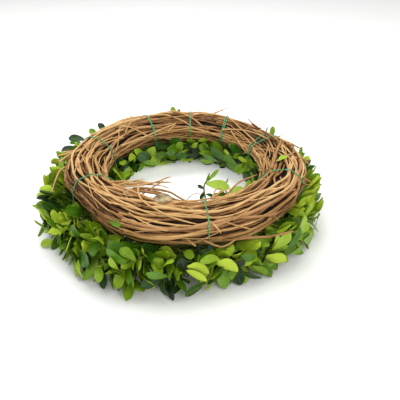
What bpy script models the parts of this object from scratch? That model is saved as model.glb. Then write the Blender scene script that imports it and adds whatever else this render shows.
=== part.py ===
"""A boxwood wreath, 13 inches across, lying on its leafy face with its back up.

The back is a ring of dried vines wound round and round. Eight ties of green wire hold
sixteen bunches of boxwood sprigs under it, and the leaves spread out, down and into the hole.
Units are metres, +Z is up, and the origin is on the surface under the middle of the wreath.
The foliage spreads farther on one side, so the ring's own axis is a little off the middle.
Everything is made round that axis and moved at the end. Angles round the ring are in degrees
from +X, and the front of the wreath is at 270.
"""

import math
import random
from typing import NamedTuple

import bmesh
import bpy
from mathutils import Matrix, Vector
from mathutils.bvhtree import BVHTree
from mathutils.geometry import intersect_point_line

TAU = 2 * math.pi
UP = Vector((0, 0, 1))

# Where the ring's axis ends up
RING_AXIS = (0.0046, 0.0014, 0)

# Vine ring
RING_RADIUS = 0.110
RING_HALF_WIDTH = 0.0235
RING_HALF_HEIGHT = 0.0172
RING_HEIGHT = 0.0525
RING_STEPS = 28
STRANDS = 20
STRAND_RELIEF = 0.0016
STRAND_TWIST = 0.30
STRAND_WAVER = 0.03
VINE_COUNT = 6
VINE_RADIUS = (0.0017, 0.0022)
VINE_LIFT = 0.0008
VINE_SPAN = (110, 230)
VINE_DRIFT = (0.6, 1.4)
VINE_WAVER = 0.06
VINE_TAPER = 0.35
TWIG_RADIUS = 0.0013
TWIG_TAPER = 0.3

# Ties
TIES = (280, 337, 386, 419, 445, 474, 518, 564)
TIE_SLANTS = (-1.5, 3, 6, 3, 0, 0, -8, -2)
DOUBLE_PARTS = {386: 3.5, 419: 3.0, 474: 2.0}
DOUBLE_STEPS = 11
WIRE_RADIUS = 0.0008
TAIL_RADIUS = 0.0012
TAIL_TURN = 6
TAIL_AT = -32
TAIL_STEPS = 3
TIE_CENTRE_DROP = 0.0090
TIE_POINTS = 180
TIE_WIDTH_TURN = 0.010
TIE_SQUEEZE = 0.05
TIE_SQUEEZE_TURN = 7
LOOSE_WIRE_LIFT = 0.0010
SEEK_FROM = 0.05

# Bunches: how many there are from each tie to the next, and the stems bundled in them
BUNCHES_AFTER_TIE = (3, 2, 2, 1, 1, 2, 2, 3)
STEMS_HALF_WIDTH = 0.0195
STEMS_HALF_HEIGHT = 0.0070
STEMS_PAST_TIE = 0.0050
STEMS_STEPS = 2
RESTING_BUNCHES = (4, 9, 14)
RESTING_STEM_ASIDE = 0.0040

# Sprigs and leaves
STEM_RADIUS = 0.0014
LEAF_LENGTH = 0.0250
LEAF_WIDTH = 0.0130
LEAF_THICKNESS = 0.0011
LEAF_CORNERS = 6
LEAF_CUP = 0.10
LEAF_DROOP = 0.06
LEAF_OPENING = 52
LEAF_SIZES = (0.9, 1.1)
FIRST_PAIR = 0.85
PAIR_STEP = 0.35
FOLIAGE_INNER = 0.0670
FOLIAGE_OUTER = 0.1625
FOLIAGE_SHIFT = 0.0065
FOLIAGE_SHIFT_AT = 195
FOLIAGE_TOP = 0.0600

# Room between neighbours
CLEARANCE = 0.0004
AROUND_STEMS = 0.0012
BUNCH_GAP = 0.0008
TIE_SLOT = 0.0026
FLOOR_GAP = 0.0008

BARK = (0.42, 0.27, 0.13)
WIRE_GREEN = (0.10, 0.42, 0.22)
LEAF_GREEN = (0.16, 0.34, 0.05)
DRY_LEAF = (0.50, 0.42, 0.27)

# Loose ends of the vines, each a line of points from where it leaves the ring
LOOSE_TWIGS = (
    ((0.012, -0.122, 0.043), (0.053, -0.127, 0.046), (0.097, -0.124, 0.050)),
    ((-0.124, -0.004, 0.058), (-0.136, -0.014, 0.057), (-0.141, -0.040, 0.044)),
    ((-0.122, 0.020, 0.062), (-0.143, 0.028, 0.062)),
    ((0.022, 0.113, 0.062), (0.046, 0.122, 0.071)),
    ((0.112, 0.010, 0.066), (0.138, -0.012, 0.062)),
    ((0.112, -0.045, 0.056), (0.130, -0.054, 0.056)),
    ((-0.082, -0.050, 0.060), (-0.050, -0.052, 0.064), (-0.012, -0.053, 0.063)),
    ((-0.074, -0.062, 0.062), (-0.040, -0.056, 0.063), (-0.014, -0.049, 0.067)),
    ((-0.070, -0.060, 0.065), (-0.044, -0.086, 0.071), (-0.020, -0.104, 0.070)),
    ((0.036, -0.083, 0.061), (0.055, -0.060, 0.066), (0.076, -0.040, 0.062)),
)

# The stem of the loose sprig at the inner front, and its leaves: how far along the last
# part of the stem each grows, how far it opens from the stem, in radians, and its size
LOOSE_SPRIG = (
    (0.026, -0.095, 0.029),
    (0.022, -0.078, 0.046),
    (0.019, -0.064, 0.062),
    (0.026, -0.053, 0.066),
)
LOOSE_STEM_TAPER = (1, 0.8, 0.7, 0.5)
LOOSE_LEAVES = ((0.15, 1.1, 0.90), (0.85, 0.8, 0.40), (0.95, -0.1, 0.50))

# The dry leaf lies level on the vines: its angles round the ring and on the ring's section
DRY_LEAF_AT = 258
DRY_LEAF_UP = 112
DRY_LEAF_SIZE = 0.65
DRY_LEAF_CUP = 0.35
DRY_LEAF_CURL = 0.12
DRY_LEAF_STEPS = 24


class Row(NamedTuple):
    """Sprigs that root and grow alike: angles on the section, then the lean along the ring."""

    rooted: float
    heading: float
    lean: float
    places: tuple
    pairs: int
    length: float
    flat: bool


SPRIG_ROWS = (
    Row(25, 22, 0, (0.27, 0.75), 2, 0.016, False),
    Row(-10, -4, 0, (0.50,), 1, 0.017, False),
    Row(-45, -24, 0, (0.25, 0.75), 2, 0.016, False),
    Row(-70, -25, 52, (0.20,), 2, 0.016, True),
    Row(-95, -75, 68, (0.10,), 2, 0.016, True),
    Row(-115, -150, -55, (0.80,), 1, 0.014, True),
    Row(-165, -165, 30, (0.40,), 2, 0.010, False),
    Row(155, 158, -30, (0.62,), 2, 0.011, False),
)
PLACE_VARIES = 0.06
ROOTED_VARIES = 8
HEADING_VARIES = 9
LEAN_VARIES = 18
ROOT_DEPTH = (0.8, 0.7)
TRIES = 12


def material(name, colour, roughness):
    made = bpy.data.materials.new(name)
    made.use_nodes = True
    shader = made.node_tree.nodes["Principled BSDF"]
    shader.inputs["Base Color"].default_value = (*colour, 1)
    shader.inputs["Roughness"].default_value = roughness
    return made


def ring_point(theta, rho, z):
    """The point at angle theta round the ring, rho from its axis and z above the surface."""
    return Vector((rho * math.cos(theta), rho * math.sin(theta), z))


# Fusing repeats into one node


def tube(points, radii, closed=False, sides_level=0):
    """The shape of a tapered tube through points, with 4 sides, or 6 at level 1."""
    curve = bpy.data.curves.new("tube", "CURVE")
    curve.dimensions = "3D"
    curve.bevel_depth = 1.0
    curve.bevel_resolution = sides_level
    curve.use_fill_caps = not closed
    spline = curve.splines.new("POLY")
    spline.points.add(len(points) - 1)
    spline.use_cyclic_u = closed
    for point, place, radius in zip(spline.points, points, radii):
        point.co = (*place, 1)
        point.radius = radius
    holder = bpy.data.objects.new("tube", curve)
    bpy.context.scene.collection.objects.link(holder)
    graph = bpy.context.evaluated_depsgraph_get()
    mesh = bpy.data.meshes.new_from_object(holder.evaluated_get(graph))
    shape = bmesh.new()
    shape.from_mesh(mesh)
    bmesh.ops.remove_doubles(shape, verts=shape.verts, dist=1e-6)
    bpy.data.objects.remove(holder)
    bpy.data.curves.remove(curve)
    bpy.data.meshes.remove(mesh)
    return shape


def as_object(shape):
    """Ends the work on a shape, and puts it in an object."""
    mesh = bpy.data.meshes.new("piece")
    shape.normal_update()
    bmesh.ops.recalc_face_normals(shape, faces=shape.faces)
    shape.to_mesh(mesh)
    shape.free()
    made = bpy.data.objects.new("piece", mesh)
    bpy.context.scene.collection.objects.link(made)
    return made


def volume_of(faces):
    """Six times the signed volume under a list of faces."""
    total = 0.0
    for face in faces:
        first, *rest = (corner.co for corner in face.verts)
        for a, b in zip(rest, rest[1:]):
            total += first.dot(a.cross(b))
    return total


def keep_largest_body(mesh):
    """Drops loose scraps, and fills hollows by dropping the skin that faces into them."""
    shape = bmesh.new()
    shape.from_mesh(mesh)
    left, bodies = set(shape.faces), []
    while left:
        body, front = set(), [left.pop()]
        while front:
            face = front.pop()
            body.add(face)
            for edge in face.edges:
                near = [f for f in edge.link_faces if f in left]
                left.difference_update(near)
                front.extend(near)
        bodies.append(body)
    bodies.sort(key=volume_of)
    extra = [face for body in bodies[:-1] for face in body]
    bmesh.ops.delete(shape, geom=extra, context="FACES")
    shape.to_mesh(mesh)
    shape.free()


def fuse(name, pieces, finish, nodes):
    """Joins overlapping pieces into one solid, and makes it the node of that name."""
    base, *others = pieces
    if others:
        joined = bpy.data.collections.new("joined")
        for other in others:
            bpy.context.scene.collection.objects.unlink(other)
            joined.objects.link(other)
        union = base.modifiers.new("union", "BOOLEAN")
        union.operation = "UNION"
        union.solver = "MANIFOLD"
        union.operand_type = "COLLECTION"
        union.collection = joined
    graph = bpy.context.evaluated_depsgraph_get()
    mesh = bpy.data.meshes.new_from_object(base.evaluated_get(graph))
    for piece in pieces:
        bpy.data.objects.remove(piece)
    if others:
        bpy.data.collections.remove(joined)
        keep_largest_body(mesh)
    mesh.materials.clear()
    mesh.materials.append(finish)
    node = bpy.data.objects.new(name, mesh)
    nodes.objects.link(node)
    return node


# The ring of vines


def turn_between(theta, degrees):
    """How far, in degrees from -180 to 180, an angle in radians is past one in degrees."""
    return (math.degrees(theta) - degrees + 180) % 360 - 180


def squeeze(theta):
    """How far the ties draw the vines together: 1 between ties, a little less under one."""
    nearest = min(abs(turn_between(theta, tie)) for tie in TIES)
    return 1 - TIE_SQUEEZE * math.exp(-((nearest / TIE_SQUEEZE_TURN) ** 2))


def on_ring(theta, phi, lift):
    """A point on the ring's section at angle phi, 0 outward and 90 degrees up."""
    tight = squeeze(theta)
    rho = RING_RADIUS + (RING_HALF_WIDTH + lift) * tight * math.cos(phi)
    z = RING_HEIGHT + (RING_HALF_HEIGHT + lift) * tight * math.sin(phi)
    return ring_point(theta, rho, z)


def vine_paths():
    """Each outer vine as (points, radii): it runs part of the way round and crosses others."""
    draw = random.Random(41)
    for number in range(VINE_COUNT):
        phi = math.radians(-40 + 260 * number / VINE_COUNT)
        start = draw.uniform(0, TAU)
        span = math.radians(draw.uniform(*VINE_SPAN))
        drift = draw.choice((-1, 1)) * draw.uniform(*VINE_DRIFT)
        phase = draw.uniform(0, TAU)
        radius = draw.uniform(*VINE_RADIUS)
        steps = max(6, round(span / TAU * RING_STEPS))
        points, radii = [], []
        for step in range(steps + 1):
            share = step / steps
            theta = start + span * share
            bend = phi + drift * (share - 0.5) + VINE_WAVER * math.sin(3 * theta + phase)
            points.append(on_ring(theta, bend, VINE_LIFT))
            radii.append(radius * (1 - VINE_TAPER * share))
        yield points, radii


def wound_strands():
    """The vines wound side by side, as ridges that waver, fade and rise round the ring."""
    draw = random.Random(17)
    waver = [draw.uniform(0, TAU) for strand in range(STRANDS)]
    fade = [draw.uniform(0, TAU) for strand in range(STRANDS)]
    sides = 2 * STRANDS
    bpy.ops.mesh.primitive_torus_add(
        major_segments=RING_STEPS,
        minor_segments=sides,
        major_radius=RING_RADIUS,
        minor_radius=RING_HALF_WIDTH,
    )
    ring = bpy.context.object
    for corner in ring.data.vertices:
        theta = math.atan2(corner.co.y, corner.co.x)
        rho = math.hypot(corner.co.x, corner.co.y)
        phi = math.atan2(corner.co.z, rho - RING_RADIUS)
        side = round(phi / TAU * sides) % sides
        strand = side // 2
        if side % 2:
            lift = -STRAND_RELIEF
        else:
            lift = STRAND_RELIEF * (0.3 + 0.7 * math.sin(2 * theta + fade[strand]))
        phi += STRAND_TWIST * math.sin(theta + 1)
        phi += STRAND_WAVER * math.sin(4 * theta + waver[strand])
        corner.co = on_ring(theta, phi, lift)
    return ring


def build_ring(finish, nodes):
    pieces = [wound_strands()]
    pieces += [as_object(tube(points, radii)) for points, radii in vine_paths()]
    for points in LOOSE_TWIGS:
        radii = [TWIG_RADIUS] * (len(points) - 1) + [TWIG_RADIUS * (1 - TWIG_TAPER)]
        pieces.append(as_object(tube(points, radii)))
    return fuse("vine_ring", pieces, finish, nodes)


def near_twig(point):
    """Whether a point is too near a loose twig for a leaf."""
    for points in LOOSE_TWIGS:
        for a, b in zip(points, points[1:]):
            on_line, share = intersect_point_line(point, Vector(a), Vector(b))
            on_line = Vector(a).lerp(Vector(b), min(max(share, 0), 1))
            if (point - on_line).length < TWIG_RADIUS + LEAF_THICKNESS + CLEARANCE:
                return True
    return False


# The bunches of boxwood


def bunch_spans():
    """Where each bunch runs: (start, end) in degrees, and whether a tie is at each."""
    for number, count in enumerate(BUNCHES_AFTER_TIE):
        first = TIES[number]
        after = TIES[number + 1] if number + 1 < len(TIES) else TIES[0] + 360
        step = (after - first) / count
        for part in range(count):
            yield (
                math.radians(first + step * part),
                math.radians(first + step * (part + 1)),
                part == 0,
                part == count - 1,
            )


def underside(ring, start, end):
    """The lowest height of the vines over a bunch."""
    beyond = math.radians(360 / RING_STEPS)
    middle, half = (start + end) / 2, (end - start) / 2 + beyond
    heights = []
    for corner in ring.data.vertices:
        turn = (math.atan2(corner.co.y, corner.co.x) - middle + math.pi) % TAU - math.pi
        if abs(turn) < half:
            heights.append(corner.co.z)
    return min(heights)


def stem_bundle(span, height):
    """The stems of a bunch, laid along the ring and pressed flat under it.

    They reach a little past the tie before them, which grips them there.
    """
    start, end, tie_before, tie_after = span
    first = start + BUNCH_GAP / 2 / RING_RADIUS
    last = end - BUNCH_GAP / 2 / RING_RADIUS
    if tie_before:
        first -= STEMS_PAST_TIE / RING_RADIUS
    if tie_after:
        last -= STEMS_PAST_TIE / RING_RADIUS
    straight = [Vector((step / STEMS_STEPS, 0, 0)) for step in range(STEMS_STEPS + 1)]
    bundle = tube(straight, [1.0] * len(straight), sides_level=1)
    for corner in bundle.verts:
        theta = first + (last - first) * corner.co.x
        rho = RING_RADIUS + STEMS_HALF_WIDTH * corner.co.y
        corner.co = ring_point(theta, rho, height + STEMS_HALF_HEIGHT * corner.co.z)
    return as_object(bundle)


def leaf_outline(place, along, normal, size, cup=LEAF_CUP, droop=LEAF_DROOP):
    """The rim points and the middle of a leaf that starts at place."""
    across = normal.cross(along)
    length, width = LEAF_LENGTH * size, LEAF_WIDTH * size
    rim = []
    for corner in range(LEAF_CORNERS):
        turn = TAU * corner / LEAF_CORNERS
        share = 0.5 - 0.5 * math.cos(turn)
        side = math.sin(turn) * (0.95 + 0.30 * share)
        bend = cup * width * abs(side) - droop * length * share * share
        rim.append(
            place
            + along * (length * share)
            + across * (width / 2 * side)
            + normal * bend
        )
    return rim, place + along * (length * 0.55)


def leaf(rim, middle, normal):
    """A closed leaf, thin at its rim and thickest at its midrib."""
    shape = bmesh.new()
    bmesh.ops.create_uvsphere(shape, u_segments=LEAF_CORNERS, v_segments=2, radius=1)
    for corner in shape.verts:
        if abs(corner.co.z) > 0.5:
            corner.co = middle + normal * math.copysign(LEAF_THICKNESS / 2, corner.co.z)
        else:
            turn = math.atan2(corner.co.y, corner.co.x) % TAU
            corner.co = rim[round(turn / TAU * LEAF_CORNERS) % LEAF_CORNERS]
    return shape


def free_room(span, height):
    """A test of whether a point is free for the leaves of the bunch with this span."""
    start, end, tie_before, tie_after = span
    thick = LEAF_THICKNESS / 2
    around_ring = VINE_LIFT + VINE_RADIUS[1] + 2 * WIRE_RADIUS + CLEARANCE + thick
    before = (TIE_SLOT if tie_before else BUNCH_GAP) / 2 + thick
    after = (TIE_SLOT if tie_after else BUNCH_GAP) / 2 + thick
    into_bunch = Vector((-math.sin(start), math.cos(start), 0))
    back_from_end = Vector((math.sin(end), -math.cos(end), 0))
    farthest = math.radians(FOLIAGE_SHIFT_AT)

    def within(point, wide, high, middle_height):
        rho = math.hypot(point.x, point.y)
        return ((rho - RING_RADIUS) / wide) ** 2 + ((point.z - middle_height) / high) ** 2 < 1

    def free(point):
        rho = math.hypot(point.x, point.y)
        lean = FOLIAGE_SHIFT * math.cos(math.atan2(point.y, point.x) - farthest)
        return (
            point.dot(into_bunch) > before
            and point.dot(back_from_end) > after
            and FLOOR_GAP + thick < point.z < FOLIAGE_TOP
            and FOLIAGE_INNER < rho < FOLIAGE_OUTER + lean
            and not within(
                point, RING_HALF_WIDTH + around_ring, RING_HALF_HEIGHT + around_ring, RING_HEIGHT
            )
            and not within(
                point, STEMS_HALF_WIDTH + AROUND_STEMS, STEMS_HALF_HEIGHT + AROUND_STEMS, height
            )
            and not near_twig(point)
        )

    return free


class Sprig:
    """A stem, how many pairs of leaves it has, and which way the first pair spreads."""

    def __init__(self, root, grows, side, row):
        self.root = root
        self.grows = grows
        self.side = side
        self.row = row
        self.stem = pointed_stem(root, root + grows * (row.length + LEAF_LENGTH * 0.3))
        self.tree = BVHTree.FromBMesh(self.stem)


def pointed_stem(root, tip):
    """A three-sided stem that runs out to a point inside its last leaf."""
    along = tip - root
    shape = bmesh.new()
    bmesh.ops.create_cone(
        shape, segments=3, radius1=STEM_RADIUS, radius2=0, depth=along.length, cap_ends=True
    )
    bmesh.ops.translate(shape, verts=shape.verts, vec=UP * (along.length / 2))
    turn = along.to_track_quat("Z", "Y").to_matrix()
    bmesh.ops.rotate(shape, verts=shape.verts, matrix=turn)
    bmesh.ops.translate(shape, verts=shape.verts, vec=root)
    return shape


def sprigs_of(span, height, draw):
    """The sprigs of a bunch, rooted in rows round its stems."""
    start, end, *ties = span
    for row in SPRIG_ROWS:
        for place in row.places:
            theta = start + (end - start) * (place + draw.uniform(-PLACE_VARIES, PLACE_VARIES))
            outward = ring_point(theta, 1, 0)
            forward = ring_point(theta + math.pi / 2, 1, 0)
            where = math.radians(row.rooted + draw.uniform(-ROOTED_VARIES, ROOTED_VARIES))
            way = math.radians(row.heading + draw.uniform(-HEADING_VARIES, HEADING_VARIES))
            slant = math.radians(row.lean + draw.uniform(-LEAN_VARIES, LEAN_VARIES))
            root = (
                outward * (RING_RADIUS + ROOT_DEPTH[0] * STEMS_HALF_WIDTH * math.cos(where))
                + UP * (height + ROOT_DEPTH[1] * STEMS_HALF_HEIGHT * math.sin(where))
            )
            in_section = outward * math.cos(way) + UP * math.sin(way)
            grows = (in_section * math.cos(slant) + forward * math.sin(slant)).normalized()
            level = grows.cross(UP).normalized()
            roll = 0 if row.flat else draw.uniform(0, TAU)
            side = Matrix.Rotation(roll, 3, grows) @ level
            yield Sprig(root, grows, side, row)


def leaves_of(sprig, free, placed, draw):
    """Leaves in pairs, and one on top.

    Each pair is a quarter turn from the last, but on the face they spread flat. A leaf that
    has no room turns about its stem or closes up to it, or is left out if that fails.
    """
    spots = [(1.0, 0.0)]
    quarter = 0 if sprig.row.flat else math.pi / 2
    for pair in range(sprig.row.pairs):
        for half in (0, math.pi):
            spots.append((FIRST_PAIR - PAIR_STEP * pair, half + pair * quarter))
    for share, turn in spots:
        widest = 0 if share == 1.0 else LEAF_OPENING
        for trial in range(TRIES):
            loose = trial / TRIES
            roll = turn + draw.uniform(-0.2, 0.2) + loose * draw.uniform(-2, 2)
            opening = math.radians(widest * (1 - 0.6 * loose) * draw.uniform(0.75, 1.05))
            outward = Matrix.Rotation(roll, 3, sprig.grows) @ sprig.side
            along = sprig.grows * math.cos(opening) + outward * math.sin(opening)
            normal = outward * math.cos(opening) - sprig.grows * math.sin(opening)
            place = sprig.root + sprig.grows * (sprig.row.length * share)
            rim, middle = leaf_outline(place, along, normal, draw.uniform(*LEAF_SIZES))
            tests = rim[1:] + [(a + b) / 2 for a, b in zip(rim[1:], rim[2:])]
            if not all(free(point) for point in tests):
                continue
            shape = leaf(rim, middle, normal)
            tree = BVHTree.FromBMesh(shape)
            if any(tree.overlap(other) for other in placed if other is not sprig.tree):
                shape.free()
                continue
            placed.append(tree)
            yield shape
            break


def resting_leaf(span, height):
    """A leaf pressed flat on the surface, and the stem that it hangs from."""
    start, end, *ties = span
    theta = (start + end) / 2
    outward = ring_point(theta, 1, 0)
    base = ring_point(theta, RING_RADIUS - LEAF_LENGTH / 2, 0)
    plate = bmesh.new()
    bmesh.ops.create_cone(
        plate, segments=8, radius1=1, radius2=1, depth=LEAF_THICKNESS, cap_ends=True
    )
    across = UP.cross(outward)
    for corner in plate.verts:
        share = 0.5 + 0.5 * corner.co.x
        side = corner.co.y * (0.85 + 0.3 * share)
        corner.co = (
            base
            + outward * (LEAF_LENGTH * share)
            + across * (LEAF_WIDTH / 2 * side)
            + UP * (corner.co.z + LEAF_THICKNESS / 2)
        )
    foot = base + outward * RESTING_STEM_ASIDE + UP * (LEAF_THICKNESS / 2)
    top = ring_point(theta, RING_RADIUS - RESTING_STEM_ASIDE, height)
    stem = tube([top, foot], [STEM_RADIUS, STEM_RADIUS * 0.8])
    return plate, stem


def loose_sprig():
    """The sprig that reaches up past the vines into the hole, with three young leaves."""
    points = [Vector(point) for point in LOOSE_SPRIG]
    yield tube(points, [STEM_RADIUS * share for share in LOOSE_STEM_TAPER])
    grows = (points[3] - points[2]).normalized()
    side = grows.cross(UP).normalized()
    normal = side.cross(grows)
    for place, opening, size in LOOSE_LEAVES:
        along = grows * math.cos(opening) + side * math.sin(opening)
        rim, middle = leaf_outline(points[2].lerp(points[3], place), along, normal, size)
        yield leaf(rim, middle, normal)


def build_bunch(number, span, height, bundle, blocked, finish, nodes):
    draw = random.Random(700 + number)
    free = free_room(span, height)
    pieces = [bundle]
    placed = list(blocked)
    extras = []
    if number in RESTING_BUNCHES:
        extras += resting_leaf(span, height)
    if number == 1:
        extras += loose_sprig()
    placed += [BVHTree.FromBMesh(shape) for shape in extras]
    pieces += [as_object(shape) for shape in extras]
    sprigs = []
    for sprig in sprigs_of(span, height, draw):
        if any(sprig.tree.overlap(other) for other in placed):
            sprig.stem.free()
        else:
            sprigs.append(sprig)
    placed += [sprig.tree for sprig in sprigs]
    for sprig in sprigs:
        pieces += [as_object(shape) for shape in leaves_of(sprig, free, placed, draw)]
        pieces.append(as_object(sprig.stem))
    return fuse(f"boxwood_bunch_{number:02d}", pieces, finish, nodes)


# The ties and the dry leaf


def outermost(theta, phi, trees):
    """The farthest point, as (out, up), of what a wire holds at angle phi on its section."""
    reach = 0.0
    way = ring_point(theta, math.cos(phi), 0) + UP * math.sin(phi)
    for aside in (-TIE_WIDTH_TURN, 0, TIE_WIDTH_TURN):
        middle = ring_point(theta + aside, RING_RADIUS, RING_HEIGHT - TIE_CENTRE_DROP)
        for tree in trees:
            place, normal, face, distance = tree.ray_cast(middle + way * SEEK_FROM, -way, SEEK_FROM)
            if place is not None:
                reach = max(reach, SEEK_FROM - distance)
    out = RING_RADIUS + reach * math.cos(phi)
    return Vector((out, RING_HEIGHT - TIE_CENTRE_DROP + reach * math.sin(phi)))


def pull_taut(places):
    """Drops the places of a loop where the wire would sag in between its neighbours."""
    places = list(places)
    sagging = True
    while sagging:
        sagging = False
        for spot in range(len(places)):
            before, here, after = (places[(spot + step) % len(places)][1] for step in (-1, 0, 1))
            if (here - before).cross(after - before) < 2e-8:
                del places[spot]
                sagging = True
                break
    return places


def push_out(places, distance):
    """The points of a taut loop, moved out from the surface by a distance."""
    points = []
    for spot, (theta, here) in enumerate(places):
        before = places[spot - 1][1]
        after = places[(spot + 1) % len(places)][1]
        normals = [
            Vector(((b - a).y, -(b - a).x)).normalized() for a, b in ((before, here), (here, after))
        ]
        moved = here + sum(normals, Vector((0, 0))) * distance / (1 + normals[0].dot(normals[1]))
        points.append(ring_point(theta, moved.x, moved.y))
    return points


def laid_on(theta, phi, trees):
    """A point for a wire that lies loosely on the outside of what a tie holds."""
    centre = Vector((RING_RADIUS, RING_HEIGHT - TIE_CENTRE_DROP))
    nearby = (phi + math.radians(2.5) * step for step in range(-5, 6))
    reach = max((outermost(theta, angle, trees) - centre).length for angle in nearby)
    reach += LOOSE_WIRE_LIFT + WIRE_RADIUS
    return ring_point(
        theta, centre.x + reach * math.cos(phi), centre.y + reach * math.sin(phi)
    )


def build_tie(number, trees, finish, nodes):
    """One wire round the vines and the stems; a doubled one parts in two over the top."""
    tie, slant = TIES[number], TIE_SLANTS[number]
    places = []
    for step in range(TIE_POINTS):
        phi = TAU * step / TIE_POINTS
        above = min(1.0, max(0.0, 2.5 * math.sin(phi)))
        theta = math.radians(tie + slant * math.cos(phi) * above)
        places.append((theta, outermost(theta, phi, trees)))
    loop = push_out(pull_taut(places), CLEARANCE + 1.25 * WIRE_RADIUS)
    pieces = [as_object(tube(loop, [WIRE_RADIUS] * len(loop), closed=True))]
    if tie in DOUBLE_PARTS:
        second = []
        for step in range(DOUBLE_STEPS + 1):
            phi = math.pi * step / DOUBLE_STEPS
            part = DOUBLE_PARTS[tie] * math.sin(phi)
            theta = math.radians(tie + slant * math.cos(phi) * math.sin(phi) + part)
            second.append(laid_on(theta, phi, trees))
        for end in (0, -1):
            second[end] = min(loop, key=lambda point: (point - second[end]).length)
        pieces.append(as_object(tube(second, [WIRE_RADIUS] * len(second))))
    if number == 0:
        turns = (math.radians(tie - TAIL_TURN * step / TAIL_STEPS) for step in range(TAIL_STEPS + 1))
        tail = [laid_on(theta, math.radians(TAIL_AT), trees) for theta in turns]
        radii = (WIRE_RADIUS, TAIL_RADIUS, TAIL_RADIUS, WIRE_RADIUS)
        pieces.append(as_object(tube(tail, radii)))
    return fuse(f"tie_wire_{number + 1:02d}", pieces, finish, nodes)


def build_dry_leaf(ring_tree, finish, nodes):
    """A curled dry leaf that is let down level onto the ridges of the vines."""
    theta = math.radians(DRY_LEAF_AT)
    length = LEAF_LENGTH * DRY_LEAF_SIZE
    along = ring_point(theta + math.pi / 2, 1, 0)
    across = UP.cross(along)
    place = on_ring(theta, math.radians(DRY_LEAF_UP), 0) + UP * SEEK_FROM - along * (length / 2)
    rim, middle = leaf_outline(
        place, along, UP, DRY_LEAF_SIZE, cup=DRY_LEAF_CUP, droop=-DRY_LEAF_CURL
    )
    shape = leaf(rim, middle, UP)
    skin = BVHTree.FromBMesh(shape)
    gaps = []
    for step in range(1, DRY_LEAF_STEPS):
        for side in range(-DRY_LEAF_STEPS, DRY_LEAF_STEPS + 1):
            spot = place + along * (length * step / DRY_LEAF_STEPS)
            spot += across * (LEAF_WIDTH / 2 * side / DRY_LEAF_STEPS)
            under_leaf = skin.ray_cast(spot - UP * SEEK_FROM, UP)[0]
            on_vines = ring_tree.ray_cast(spot, -UP)[0]
            if under_leaf and on_vines:
                gaps.append(under_leaf.z - on_vines.z)
    bmesh.ops.translate(shape, verts=shape.verts, vec=UP * (CLEARANCE - min(gaps)))
    fuse("dry_leaf", [as_object(shape)], finish, nodes)


def main():
    for leftover in list(bpy.data.objects):
        bpy.data.objects.remove(leftover)
    nodes = bpy.data.collections.new("boxwood_wreath")
    bpy.context.scene.collection.children.link(nodes)
    bark = material("vine_bark", BARK, 0.85)
    green = material("boxwood_leaf", LEAF_GREEN, 0.45)
    coated = material("coated_wire", WIRE_GREEN, 0.35)
    dry = material("dry_leaf", DRY_LEAF, 0.7)

    ring = build_ring(bark, nodes)
    graph = bpy.context.evaluated_depsgraph_get()
    ring_tree = BVHTree.FromObject(ring, graph)
    build_dry_leaf(ring_tree, dry, nodes)

    spans = list(bunch_spans())
    heights = [
        underside(ring, start, end) - CLEARANCE - STEMS_HALF_HEIGHT for start, end, *ties in spans
    ]
    bundles = [stem_bundle(span, height) for span, height in zip(spans, heights)]
    graph.update()
    stem_trees = [BVHTree.FromObject(bundle, graph) for bundle in bundles]
    ties = []
    for number in range(len(TIES)):
        held = stem_trees[sum(BUNCHES_AFTER_TIE[:number])]
        ties.append(build_tie(number, (ring_tree, held), coated, nodes))
    graph.update()
    tie_trees = [BVHTree.FromObject(tie, graph) for tie in ties]
    for number, span in enumerate(spans):
        next_stems = stem_trees[(number + 1) % len(spans)]
        blocked = [ring_tree, next_stems, *tie_trees]
        build_bunch(number + 1, span, heights[number], bundles[number], blocked, green, nodes)
    for node in nodes.objects:
        node.data.transform(Matrix.Translation(RING_AXIS))


main()
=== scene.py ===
"""The looks of a boxwood wreath, 13 inches across, that lies on its leafy face.

Its back is a ring of dried vines. Bunches of boxwood are tied under it with green wire.
Units are metres. Everything is made round the ring's own axis, which is a little off the
origin. Angles round the ring are in degrees from +X, and its front is at 270. On the
ring's section, 0 points away from the hole and 90 points up.
"""

import math

import bpy
import numpy as np
from mathutils import Matrix, Vector
from mathutils.bvhtree import BVHTree


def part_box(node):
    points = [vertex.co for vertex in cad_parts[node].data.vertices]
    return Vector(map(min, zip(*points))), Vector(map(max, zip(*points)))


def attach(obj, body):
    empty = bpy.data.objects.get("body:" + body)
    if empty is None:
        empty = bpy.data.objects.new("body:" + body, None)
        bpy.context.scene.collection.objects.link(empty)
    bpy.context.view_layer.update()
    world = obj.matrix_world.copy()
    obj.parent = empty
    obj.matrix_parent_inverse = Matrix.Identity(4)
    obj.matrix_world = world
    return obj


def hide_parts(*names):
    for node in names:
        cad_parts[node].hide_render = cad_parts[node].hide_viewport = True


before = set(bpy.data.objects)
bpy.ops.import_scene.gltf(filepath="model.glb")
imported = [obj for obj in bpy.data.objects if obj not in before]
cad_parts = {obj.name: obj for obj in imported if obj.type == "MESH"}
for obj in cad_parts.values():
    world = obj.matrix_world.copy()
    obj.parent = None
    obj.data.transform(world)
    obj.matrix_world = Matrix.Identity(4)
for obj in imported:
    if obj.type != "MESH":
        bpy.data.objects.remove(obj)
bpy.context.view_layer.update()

# The vine ring
#
# Dried grape vines 1.5 to 4 mm thick, wound round and round while green, so that they lie
# side by side, cross at low angles and hold each other. Their ends stay tucked in or stick
# out. Where they part, the eye falls on the vines that are packed in the middle, whose
# near-black colour is painted shade.

TAU = 2 * math.pi
UP = Vector((0, 0, 1))
RING_AXIS = (0.0046, 0.0014, 0.0)
RING_RADIUS = 0.110
RING_HALF_WIDTH = 0.0235
RING_HALF_HEIGHT = 0.0172
RING_HEIGHT = 0.0525
TIES = (280, 337, 386, 419, 445, 474, 518, 564)
# Where each tie's wire crosses the top of the ring
WIRES_AT = (279.5, 335, 386, 420, 445.5, 475, 520, 567)
TIE_SQUEEZE = 0.05
TIE_SQUEEZE_TURN = 7

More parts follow.
